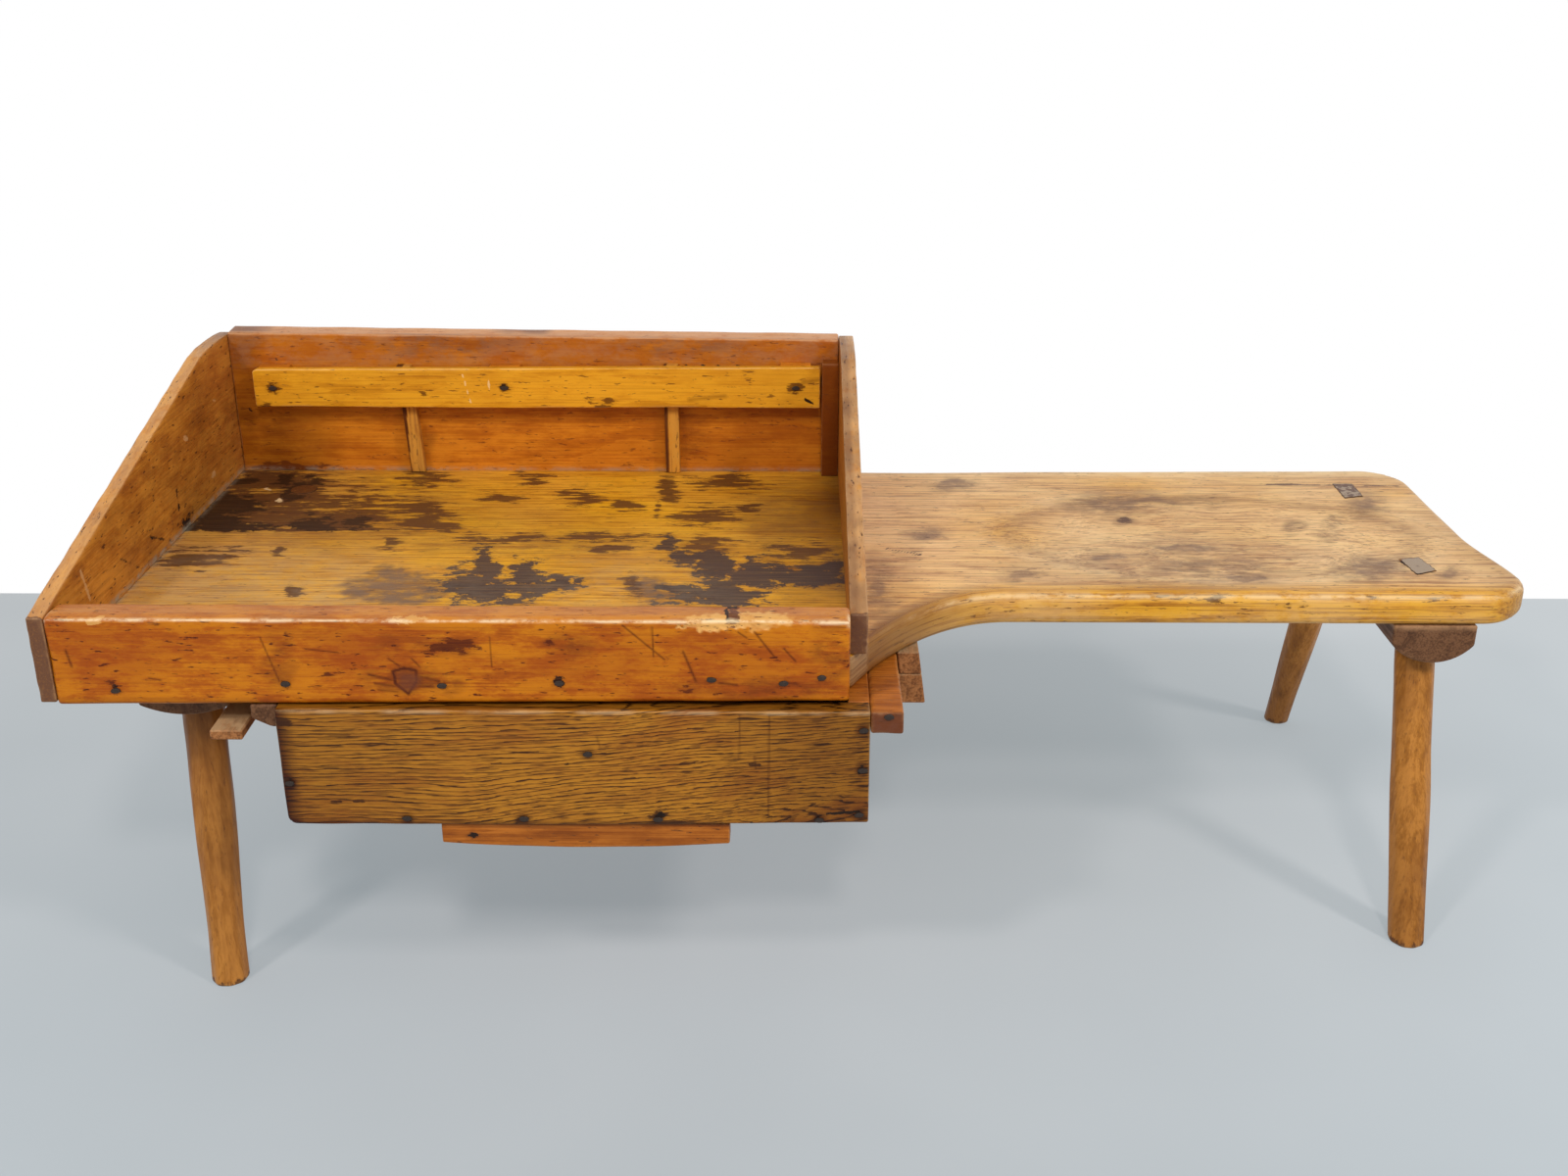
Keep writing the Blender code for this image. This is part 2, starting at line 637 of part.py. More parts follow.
def make_leg(name, tenon, foot, radii, keep, plank, batten):
    """A shaved round leg driven through its batten and the plank, with a wedge in its tenon's end."""
    tenon = Vector(tenon)
    foot = Vector(foot)
    axis = tenon - foot
    aim = Vector((0, 0, 1)).rotation_difference(axis).to_euler()
    stretch = axis.length / SEAT_HEIGHT
    hip = (HIP - FLOOR) * stretch
    top = axis.length + OVERRUN
    # Above the hip the leg and its hole taper alike, to the tenon's radius at the plank's top.
    taper = (HIP_RADIUS - TENON_RADIUS) / (axis.length - hip)
    tip_radius = TENON_RADIUS - taper * OVERRUN
    shank = [(radius, share * axis.length) for share, radius in zip(LEG_HEIGHT_SHARES, radii)]
    profile = [(0, top), (tip_radius, top), (HIP_RADIUS, hip), *reversed(shank)]
    leg = turned("leg_" + name, [*profile, (radii[0], -OVERRUN), (0, -OVERRUN)], LEG_SIDES)
    leg.location = foot
    leg.rotation_euler = aim
    as_part(leg, "honey_ash")
    cut(leg, keep, "INTERSECT")
    hole_shape = [(0, top), (tip_radius + GAP, top), (HIP_RADIUS + GAP, hip), (0, hip)]
    hole = turned("mortise_" + name, hole_shape, LEG_SIDES)
    hole.location = foot
    hole.rotation_euler = aim
    as_cutter(hole)
    cut(plank, hole)
    cut(batten, hole)
    make_wedge(name, leg, axis, aim, foot, keep)


def wedge_outline(top, bottom, room):
    """A wedge seen along the bench's depth, with some room added all round for its slot."""
    half_top = WEDGE_THICKNESS / 2 + room
    half_tip = WEDGE_TIP / 2 + room
    return [(-half_tip, bottom - room), (half_tip, bottom - room), (half_top, top), (-half_top, top)]


def make_wedge(name, leg, axis, aim, foot, keep):
    top = axis.length + OVERRUN
    bottom = axis.length - WEDGE_LENGTH
    turn = aim.to_matrix() @ PLANES["XZ"].to_matrix()
    wedge = slab("leg_wedge_" + name, wedge_outline(top, bottom, 0), -WEDGE_WIDTH / 2, WEDGE_WIDTH / 2, "XZ")
    slot_half = TENON_RADIUS + OVERRUN
    slot = slab("wedge_slot_" + name, wedge_outline(top, bottom, GAP), -slot_half, slot_half, "XZ")
    for piece in (wedge, slot):
        piece.rotation_euler = turn.to_euler()
        piece.location = foot
    as_part(wedge, "pale_end_grain")
    cut(wedge, keep, "INTERSECT")
    cut(leg, as_cutter(slot))


def make_legs(plank, battens):
    keep = block(
        "leg_height",
        (-OVERRUN - BENCH_LENGTH, -BENCH_LENGTH, FLOOR),
        (2 * BENCH_LENGTH, BENCH_LENGTH, -TENON_SETBACK),
    )
    as_cutter(keep)
    left_front = PLANK_FRONT + LEG_INSET
    left_back = PLANK_BACK - LEG_INSET
    right_front = SEAT_FRONT + LEG_INSET
    right_back = SEAT_BACK - LEG_INSET - SEAT_BACK_FLARE
    back_place = RIGHT_BATTEN_PLACE + BACK_RIGHT_TENON_SHIFT
    legs = (
        ("front_left", LEFT_BATTEN_PLACE, left_front, -LEFT_FOOT_SPREAD, FRONT_LEFT_RADII),
        ("back_left", LEFT_BATTEN_PLACE, left_back, LEFT_FOOT_SPREAD, BACK_RADII),
        ("front_right", RIGHT_BATTEN_PLACE, right_front, -FRONT_RIGHT_FOOT_SPREAD, FRONT_RIGHT_RADII),
        ("back_right", back_place, right_back, BACK_RIGHT_FOOT_SPREAD, BACK_RADII),
    )
    shifts = {"left": LEFT_FOOT_SHIFT, "right": RIGHT_FOOT_SHIFT}
    for name, tenon_x, tenon_y, spread, radii in legs:
        side = name.split("_")[1]
        tenon = (tenon_x, tenon_y, 0)
        foot = (tenon_x + shifts[side], tenon_y + spread, FLOOR)
        make_leg(name, tenon, foot, radii, keep, plank, battens[side])


def make_runners():
    """Two ledges for the drawer's cleats, each hung from the plank by a block that leans outwards."""
    drop = BATTEN_TOP - (LEDGE_TOP + GAP)
    lean = HANGER_LEAN * drop
    hangers = {}
    inner = RIGHT_CLEAT_OUTER + SIDE_RUNNING_GAP - lean
    outline = [
        (inner, BATTEN_TOP),
        (inner + lean, LEDGE_TOP + GAP),
        (inner + lean + HANGER_WIDTH, LEDGE_TOP + GAP),
        (inner + HANGER_WIDTH, BATTEN_TOP),
    ]
    hangers["right"] = slab("drawer_hanger_right", outline, RIGHT_HANGER_START, RUNNER_BACK, "XZ")
    edge = inner + lean + HANGER_WIDTH
    ledge = [
        (RIGHT_CLEAT_OUTER - RUNNER_LEDGE, LEDGE_TOP),
        (RIGHT_CLEAT_OUTER - RUNNER_LEDGE, LEDGE_TOP - RIGHT_RUNNER_HEIGHT),
        (edge + HANGER_LEAN * RIGHT_RUNNER_HEIGHT, LEDGE_TOP - RIGHT_RUNNER_HEIGHT),
        (edge, LEDGE_TOP),
    ]
    runners = {"right": slab("drawer_runner_right", ledge, RIGHT_HANGER_START, RUNNER_BACK, "XZ")}
    inner = LEFT_CLEAT_OUTER - SIDE_RUNNING_GAP + lean
    outline = [
        (inner, BATTEN_TOP),
        (inner - HANGER_WIDTH, BATTEN_TOP),
        (inner - lean - HANGER_WIDTH, LEDGE_TOP + GAP),
        (inner - lean, LEDGE_TOP + GAP),
    ]
    hangers["left"] = slab("drawer_hanger_left", outline, LEFT_HANGER_START, RUNNER_BACK, "XZ")
    tip = LEFT_CLEAT_OUTER + LEFT_RUNNER_NOTCH / 2
    notch_end = LEFT_NOTCH_LENGTH - LEFT_RUNNER_PROUD
    plan = [
        (tip - LEFT_RUNNER_WIDTH, -LEFT_RUNNER_PROUD),
        (tip - LEFT_RUNNER_NOTCH, -LEFT_RUNNER_PROUD),
        (tip - LEFT_RUNNER_NOTCH, notch_end),
        (tip, notch_end),
        (tip, RUNNER_BACK),
        (tip - LEFT_RUNNER_WIDTH, RUNNER_BACK),
    ]
    runners["left"] = slab("drawer_runner_left", plan, LEDGE_TOP - LEFT_RUNNER_HEIGHT, LEDGE_TOP, "XY")
    for piece in (*hangers.values(), *runners.values()):
        ease_edges(piece, EASE)
        as_part(piece, "dusty_oak")


def make_drawer():
    """The drawer's box, the cleats that carry it and the pull under its front."""
    side_start = FRONT_BACK_FACE + GAP
    front = board(
        "drawer_front",
        (DRAWER_LEFT, DRAWER_FACE, DRAWER_FLOOR),
        (DRAWER_RIGHT, FRONT_BACK_FACE, DRAWER_TOP),
        "olive_chestnut",
        DRAWER,
    )
    sides = {}
    for side, outer, inner in (
        ("left", DRAWER_LEFT, DRAWER_LEFT + DRAWER_SIDE_THICKNESS),
        ("right", DRAWER_RIGHT - DRAWER_SIDE_THICKNESS, DRAWER_RIGHT),
    ):
        low = (outer, side_start, SIDE_BOTTOM)
        sides[side] = board("drawer_side_" + side, low, (inner, DRAWER_END, DRAWER_TOP), "orange_pine", DRAWER)
    board(
        "drawer_back",
        (DRAWER_LEFT + DRAWER_SIDE_THICKNESS + GAP, DRAWER_END - DRAWER_BACK_THICKNESS, SIDE_BOTTOM),
        (DRAWER_RIGHT - DRAWER_SIDE_THICKNESS - GAP, DRAWER_END, DRAWER_TOP),
        "orange_pine",
        DRAWER,
    )
    bottom = board(
        "drawer_bottom",
        (DRAWER_LEFT, side_start, DRAWER_FLOOR),
        (DRAWER_RIGHT, DRAWER_END, DRAWER_FLOOR + DRAWER_BOTTOM_THICKNESS),
        "orange_pine",
        DRAWER,
    )
    cleat_bottom = DRAWER_TOP - CLEAT_HEIGHT
    left_cleat = board(
        "drawer_cleat_left",
        (LEFT_CLEAT_OUTER, DRAWER_FACE + DRAWER_PROUD, cleat_bottom),
        (DRAWER_LEFT - GAP, DRAWER_END, DRAWER_TOP),
        "orange_pine",
        DRAWER,
    )
    lost = [
        (LEFT_CLEAT_OUTER - OVERRUN, cleat_bottom - OVERRUN),
        (LEFT_CLEAT_OUTER + BROKEN_CORNER_WIDTH, cleat_bottom - OVERRUN),
        (LEFT_CLEAT_OUTER + BROKEN_CORNER_WIDTH, cleat_bottom),
        (LEFT_CLEAT_OUTER, cleat_bottom + BROKEN_CORNER_HEIGHT),
        (LEFT_CLEAT_OUTER - OVERRUN, cleat_bottom + BROKEN_CORNER_HEIGHT),
    ]
    broken = slab("broken_corner", lost, DRAWER_FACE - OVERRUN, DRAWER_FACE + BROKEN_CORNER_LENGTH, "XZ")
    cut(left_cleat, as_cutter(broken))
    right_cleat = board(
        "drawer_cleat_right",
        (DRAWER_RIGHT + GAP, DRAWER_FACE, cleat_bottom),
        (RIGHT_CLEAT_OUTER, DRAWER_END, DRAWER_TOP),
        "orange_pine",
        DRAWER,
    )
    pull_top = DRAWER_FLOOR - GAP
    pull_left = DRAWER_LEFT + PULL_LEFT_INSET
    pull_right = pull_left + PULL_LENGTH
    # The pull's lower edge is the arc through its two ends and its belly.
    radius = ((PULL_LENGTH / 2) ** 2 + PULL_BELLY ** 2) / (2 * PULL_BELLY)
    spread = math.degrees(math.asin(PULL_LENGTH / 2 / radius))
    centre = ((pull_left + pull_right) / 2, pull_top - PULL_HEIGHT - PULL_BELLY + radius)
    outline = [
        (pull_left, pull_top),
        *arc(centre, radius, -90 - spread, -90 + spread),
        (pull_right, pull_top),
    ]
    pull_face = DRAWER_FACE + PULL_SETBACK
    pull = slab("drawer_pull", outline, pull_face, pull_face + PULL_THICKNESS, "XZ")
    ease_edges(pull, EASE)
    as_part(pull, "orange_pine", DRAWER)
    return front, sides, bottom, right_cleat


def nail_tray(plank, rail, back, strip, spacers):
    """The nails that show on the rail and on the tool strip."""
    backwards = (0, 1, 0)
    for count, (along, down) in enumerate(RAIL_NAIL_SHARES, 1):
        place = (TRAY_LEFT + along * TRAY_LENGTH, 0, down * UNDERSIDE)
        nail(f"rail_nail_{count}", place, backwards, RAIL_THICKNESS + NAIL_GRIP, (rail, plank))
    for side, share, spacer in zip(("left", "middle", "right"), SPACER_PLACE_SHARES, spacers):
        along = STRIP_LEFT + share * STRIP_LENGTH
        place = (along, STRIP_FACE, STRIP_BOTTOM_RISE + strip_height(along) / 2)
        length = BACK_FACE - STRIP_FACE + NAIL_GRIP
        nail("rack_nail_" + side, place, backwards, length, (strip, spacer, back))


def nail_drawer(front, sides, bottom, right_cleat):
    """The nails that show on the drawer's face."""
    backwards = (0, 1, 0)
    through = DRAWER_FRONT_THICKNESS + NAIL_GRIP
    floor_level = DRAWER_FLOOR + DRAWER_BOTTOM_THICKNESS / 2
    for count, share in enumerate(FLOOR_NAIL_SHARES, 1):
        place = (DRAWER_LEFT + share * DRAWER_LENGTH, DRAWER_FACE, floor_level)
        nail(f"drawer_floor_nail_{count}", place, backwards, through, (front, bottom), DRAWER)
    inset = END_NAIL_SHARE * DRAWER_SIDE_THICKNESS
    ends = (
        ("left", DRAWER_LEFT + inset, LEFT_END_NAIL_SHARES),
        ("right", DRAWER_RIGHT - inset, RIGHT_END_NAIL_SHARES),
    )
    for side, across, shares in ends:
        for count, share in enumerate(shares, 1):
            place = (across, DRAWER_FACE, DRAWER_TOP - share * DRAWER_HEIGHT)
            nail(f"drawer_{side}_nail_{count}", place, backwards, through, (front, sides[side]), DRAWER)
    for name, (along, down) in (("middle", MIDDLE_NAIL_SHARES), ("corner", CORNER_NAIL_SHARES)):
        place = (DRAWER_LEFT + along * DRAWER_LENGTH, DRAWER_FACE, DRAWER_TOP - down * DRAWER_HEIGHT)
        nail(f"drawer_{name}_nail", place, backwards, DRAWER_FRONT_THICKNESS / 2, (front,), DRAWER)
    along, down = CLEAT_NAIL_SHARES
    place = (DRAWER_RIGHT + along * RIGHT_CLEAT_WIDTH, DRAWER_FACE, DRAWER_TOP - down * CLEAT_HEIGHT)
    nail("drawer_cleat_nail", place, backwards, NAIL_GRIP, (right_cleat,), DRAWER)


def stand_on_floor():
    """Moves the whole bench so that its lowest point is at z = 0 and its outline's middle at x = y = 0."""
    bpy.context.view_layer.update()
    graph = bpy.context.evaluated_depsgraph_get()
    points = []
    for obj in PARTS.objects:
        if obj.type == "MESH":
            evaluated = obj.evaluated_get(graph)
            points += [evaluated.matrix_world @ vertex.co for vertex in evaluated.to_mesh().vertices]
            evaluated.to_mesh_clear()
    low = [min(point[axis] for point in points) for axis in range(3)]
    high = [max(point[axis] for point in points) for axis in range(3)]
    BENCH.location = (-(low[0] + high[0]) / 2, -(low[1] + high[1]) / 2, -low[2])
    bpy.context.view_layer.update()


def main():
    plank = make_plank()
    rail, back = make_walls()
    strip, spacers = make_rack()
    battens = make_battens()
    make_legs(plank, battens)
    make_runners()
    front, sides, bottom, right_cleat = make_drawer()
    nail_tray(plank, rail, back, strip, spacers)
    nail_drawer(front, sides, bottom, right_cleat)
    stand_on_floor()


main()
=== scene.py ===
# %% [markdown]
# # A cobbler's bench
# This script dresses the bench's plain solids as old, worn, shellacked wood. The bench is a low plank on
# four legs. One end of the plank is a dished seat, the other is the floor of a walled tray with a tool
# rack, and a drawer hangs under the tray. Every board is made again here as a fine surface worked out with
# numpy, so that its arrises can wear round and its stains can be stored on it, point by point.

import bpy
import numpy as np
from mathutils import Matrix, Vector


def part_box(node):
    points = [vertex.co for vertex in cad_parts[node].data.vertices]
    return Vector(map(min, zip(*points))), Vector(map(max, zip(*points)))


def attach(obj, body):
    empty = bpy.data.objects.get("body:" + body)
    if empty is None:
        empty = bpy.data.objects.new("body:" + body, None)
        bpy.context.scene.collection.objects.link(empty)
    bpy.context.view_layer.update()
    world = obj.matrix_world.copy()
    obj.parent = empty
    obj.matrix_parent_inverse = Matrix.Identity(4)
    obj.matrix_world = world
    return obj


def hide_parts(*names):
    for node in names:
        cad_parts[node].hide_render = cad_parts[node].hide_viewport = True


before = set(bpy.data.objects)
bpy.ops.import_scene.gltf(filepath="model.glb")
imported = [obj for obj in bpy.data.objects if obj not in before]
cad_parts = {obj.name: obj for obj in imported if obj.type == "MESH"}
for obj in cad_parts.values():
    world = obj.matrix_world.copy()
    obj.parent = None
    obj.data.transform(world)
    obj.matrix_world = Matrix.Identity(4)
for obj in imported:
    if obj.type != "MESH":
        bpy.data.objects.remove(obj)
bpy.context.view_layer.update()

# %% [markdown]
# ## Millimetres from the tray's corner
# A maker measures a bench from one corner. Here it is the front left corner of the tray: x runs right from
# the left board's outer face, y runs back from the rail's front face, and z runs up from the plank's top.
# Every size below is in these millimetres, and a mesh is moved to the frame's metres only when it is
# finished.

# %% Measuring from the corner
CORNER = np.array([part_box("left_side_board")[0].x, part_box("front_rail")[0].y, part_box("bench_plank")[1].z])


def to_bench(points):
    """The frame's metres as millimetres from the tray's corner."""
    return (np.asarray(points, float) - CORNER) * 1000


def to_frame(points):
    """Millimetres from the tray's corner as the frame's metres."""
    return np.asarray(points, float) / 1000 + CORNER


def span(node):
    """A solid's lowest and highest corner, in millimetres from the tray's corner."""
    low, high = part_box(node)
    return to_bench(low), to_bench(high)


FLOOR_LEVEL = to_bench([0, 0, 0])[2]
rail_low, rail_high = span("front_rail")
TRAY = np.array([rail_low[0], rail_high[1], rail_high[0], span("back_board")[0][1]])
print("tray from", TRAY[:2].round(1), "to", TRAY[2:].round(1), "floor at", FLOOR_LEVEL.round(1))

# %% [markdown]
# ## The camera
# The photograph was taken from in front of the tray's right end, from nearly three times the seat's
# height, and it looks down by about 23 degrees. The camera's place was worked out from the bench's straight
# edges. The same numbers also say where the photograph shows any point of the bench, which is how the
# stains find their places.

# %% The camera and where it sees a point
PICTURE = (1600, 1200)
FOCAL = 1694.34  # in pixels of that picture
EYE = np.array([579.34, -1133.64, 542.33])
PITCH, YAW = 0.395934, -0.009116
FORWARD = np.array([np.sin(YAW) * np.cos(PITCH), np.cos(YAW) * np.cos(PITCH), -np.sin(PITCH)])
RIGHT = np.cross(FORWARD, [0, 0, 1]) / np.linalg.norm(np.cross(FORWARD, [0, 0, 1]))
UPWARD = np.cross(RIGHT, FORWARD)

camera = bpy.data.objects.new("camera", bpy.data.cameras.new("camera"))
camera.data.sensor_width = 36
camera.data.lens = FOCAL * camera.data.sensor_width / PICTURE[0]
camera.data.clip_start, camera.data.clip_end = 0.05, 50
camera.location = to_frame(EYE)
camera.rotation_euler = Vector(FORWARD).to_track_quat("-Z", "Y").to_euler()
bpy.context.scene.collection.objects.link(camera)
bpy.context.scene.camera = camera


def seen_at(points):
    """The pixel where the photograph shows each point: its distance right of and below the camera's
    axis, over its distance along that axis, times the focal length, from the picture's middle."""
    away = np.asarray(points, float) - EYE
    depth = away @ FORWARD
    across = PICTURE[0] / 2 + FOCAL * (away @ RIGHT) / depth
    down = PICTURE[1] / 2 - FOCAL * (away @ UPWARD) / depth
    return np.stack([across, down], axis=-1)


print("the tray's corner is seen at", seen_at([0, 0, 0]).round())

# %% [markdown]
# ## Nodes and colours
# A colour is written as the code that a screen shows and turned into linear light by one function. A
# material is a tree of nodes, and one small function adds a node with its settings and its links.

# %% Colours and nodes


def colour(code):
    """An sRGB code as linear light: each channel over 12.92 where it is dark, a power of 2.4 above."""
    channels = np.array([int(code[start:start + 2], 16) / 255 for start in (0, 2, 4)])
    linear = np.where(channels <= 0.04045, channels / 12.92, ((channels + 0.055) / 1.055) ** 2.4)
    return (*linear, 1)


def add(tree, kind, inputs, **settings):
    """Adds a node. Each input is a value, or another node's output to link."""
    node = tree.nodes.new("ShaderNode" + kind)
    for name, value in settings.items():
        setattr(node, name, value)
    for socket, value in inputs.items():
        if isinstance(value, bpy.types.NodeSocket):
            tree.links.new(value, node.inputs[socket])
        else:
            node.inputs[socket].default_value = value
    return node


print("worn pine is", np.round(colour("C0853F"), 3))

# %% [markdown]
# ## The studio
# The bench stands on a pale blue-grey sheet that ends behind it, in front of a plain white wall. The wall
# isn't built: it is the world's colour, at full white only where the camera or a gloss looks at it. The
# light is soft, from the whole room and from three lamps whose faint shadows run from the feet inwards.

# %% Floor, wall and lamps
FLOOR_BACK = 878  # where the photograph shows the sheet's far edge
FLOOR_FRONT, FLOOR_LEFT, FLOOR_RIGHT = -3500, -4500, 5700
LAMP_DISTANCE = 3800


def math(tree, operation, *values):
    """The result of a Math node."""
    return add(tree, "Math", dict(enumerate(values)), operation=operation).outputs[0]


def mapped(tree, value, low, high, to_low=0.0, to_high=1.0, curve="SMOOTHSTEP"):
    """A value taken from one range to another, with soft ends unless the curve is LINEAR."""
    limits = {"Value": value, "From Min": low, "From Max": high, "To Min": to_low, "To Max": to_high}
    return add(tree, "MapRange", limits, interpolation_type=curve).outputs[0]


def toned(tree, value, stops):
    """A value as a colour: each stop is a place on the scale and the code of its colour."""
    ramp_node = add(tree, "ValToRGB", {"Fac": value})
    elements = ramp_node.color_ramp.elements
    for element, (place, code) in zip(elements, (stops[0], stops[-1])):
        element.position, element.color = place, colour(code)
    for place, code in stops[1:-1]:
        elements.new(place).color = colour(code)
    return ramp_node.outputs[0]


def new_material(name):
    """A material with its tree of nodes and its surface node."""
    material = bpy.data.materials.new(name)
    material.use_nodes = True
    return material, material.node_tree, material.node_tree.nodes["Principled BSDF"]


floor_mesh = bpy.data.meshes.new("studio_floor")
floor_corners = [
    (FLOOR_LEFT, FLOOR_FRONT, FLOOR_LEVEL), (FLOOR_RIGHT, FLOOR_FRONT, FLOOR_LEVEL),
    (FLOOR_RIGHT, FLOOR_BACK, FLOOR_LEVEL), (FLOOR_LEFT, FLOOR_BACK, FLOOR_LEVEL)]
floor_mesh.from_pydata(to_frame(floor_corners).tolist(), [], [(0, 1, 2, 3)])
studio_floor = bpy.data.objects.new("studio_floor", floor_mesh)
bpy.context.scene.collection.objects.link(studio_floor)

# The sheet is matt, and its colour hardly varies. It glows with painted light, an emission that keeps the
# bench's shade on it pale and cool. This painted light is strongest at the back, and at its right and left.
floor_paint, tree, paint = new_material("matt_grey_sheet")
place = add(tree, "TexCoord", {}).outputs["Object"]
cloud = add(tree, "TexNoise", {"Vector": place, "Scale": 1.6, "Detail": 3}).outputs["Fac"]
tree.links.new(toned(tree, cloud, [(0.3, "908D8C"), (0.7, "9E9B9A")]), paint.inputs["Base Color"])
paint.inputs["Roughness"].default_value = 0.9
paint.inputs["Specular IOR Level"].default_value = 0.1
sides = add(tree, "SeparateXYZ", {0: place}).outputs
far = mapped(tree, sides["Y"], -0.5, 0.7, curve="LINEAR")
painted_glow = math(tree, "MULTIPLY_ADD", far, 0.045, 0.325)
painted_glow = math(tree, "MULTIPLY_ADD", mapped(tree, sides["X"], 0.0, 1.1), 0.14, painted_glow)
painted_glow = math(tree, "MULTIPLY_ADD", mapped(tree, sides["X"], -0.15, -0.75), 0.045, painted_glow)
tree.links.new(painted_glow, paint.inputs["Emission Strength"])
painted_glow_colour = add(tree, "Mix", {0: far, 6: colour("C8E0EC"), 7: colour("D6E2E8")}, data_type="RGBA").outputs[2]
tree.links.new(painted_glow_colour, paint.inputs["Emission Color"])
floor_mesh.materials.append(floor_paint)

world = bpy.data.worlds.new("white_wall")
world.use_nodes = True
tree = world.node_tree
looks = add(tree, "LightPath", {}).outputs
way = add(tree, "SeparateXYZ", {0: add(tree, "TexCoord", {}).outputs["Generated"]}).outputs
# The room lights the bench more from its walls than from its ceiling, so the shade under it is thin.
room = mapped(tree, way["Z"], 0.0, 0.75, 0.92, 0.34)
# A gloss sees the white wall behind the bench and a dimmer room in front of it.
gloss = mapped(tree, way["Y"], -0.25, 0.35, 0.10, 1.0)
mirror = math(tree, "MAXIMUM", looks["Is Glossy Ray"], looks["Is Transmission Ray"])
level = add(tree, "Mix", {0: mirror, 2: room, 3: gloss}).outputs[0]
level = add(tree, "Mix", {0: looks["Is Camera Ray"], 2: level, 3: 1.0}).outputs[0]
tree.links.new(level, tree.nodes["Background"].inputs["Strength"])
tree.nodes["Background"].inputs["Color"].default_value = (1, 1, 1, 1)
bpy.context.scene.world = world
bpy.context.scene.view_settings.view_transform = "Standard"

BENCH_MIDDLE = np.array([600, 250, -60])
for name, way, watts, width in (
    ("lamp_right", (0.82, -0.60, 0.85), 40, 0.50),
    ("lamp_front", (0.10, -1.0, 0.95), 35, 0.45),
    ("lamp_left", (-0.66, -0.75, 0.95), 34, 0.45),
):
    lamp = bpy.data.lights.new(name, "AREA")
    lamp.shape, lamp.size, lamp.energy = "DISK", width, watts
    lamp_object = bpy.data.objects.new(name, lamp)
    way = np.array(way) / np.linalg.norm(way)
    lamp_object.location = to_frame(BENCH_MIDDLE + LAMP_DISTANCE * way)
    lamp_object.rotation_euler = Vector(-way).to_track_quat("-Z", "Y").to_euler()
    bpy.context.scene.collection.objects.link(lamp_object)

# %% [markdown]
# ## Old wood
# Every board here is wood, and what the eye reads as wood is layered: the year rings, sawn through at a
# slant, the fine fibres along the grain, small dark flecks, and a slow change of tone across the board.
# Over those lie a hundred years of use, which each piece stores on its own points: edges rubbed pale, dust,
# dark spills. The same points also store painted shade, painted highlights on a few arrises, and a painted
# sheen along the seat's back. A spill's edge follows the fibres, so its stored depth is made ragged by a noise
# stretched along them. One function makes each kind of wood, because they differ only in colours, ring
# spacing, pores and gloss.

# %% A wood, from its rings to its stains
PULL = {"stain": 1.4, "umber": 1.6, "grey": 0.95, "pale": 1.0}  # how far the fibres pull a spill's edge
COVER = {"stain": 1.0, "umber": 0.9, "grey": 0.97, "pale": 0.75}  # the rest is the grain that shows through
TURNS = {"x": (0, 0, 0), "y": (0, 0, np.pi / 2), "z": (0, np.pi / 2, 0)}  # turns the grain to lie along x
BEND = 0.16  # metres: what a stored lift or drift of 1 moves the grain by
RELIEF = 0.0003  # metres: how deep the bumps of wood and rust are
STORED = ("edge", "shade", "warm", "dust", "stain", "umber", "grey", "pale", "film", "bare", "smudge", "haze")
SHADE, DUST = "6A4530", "A3957F"


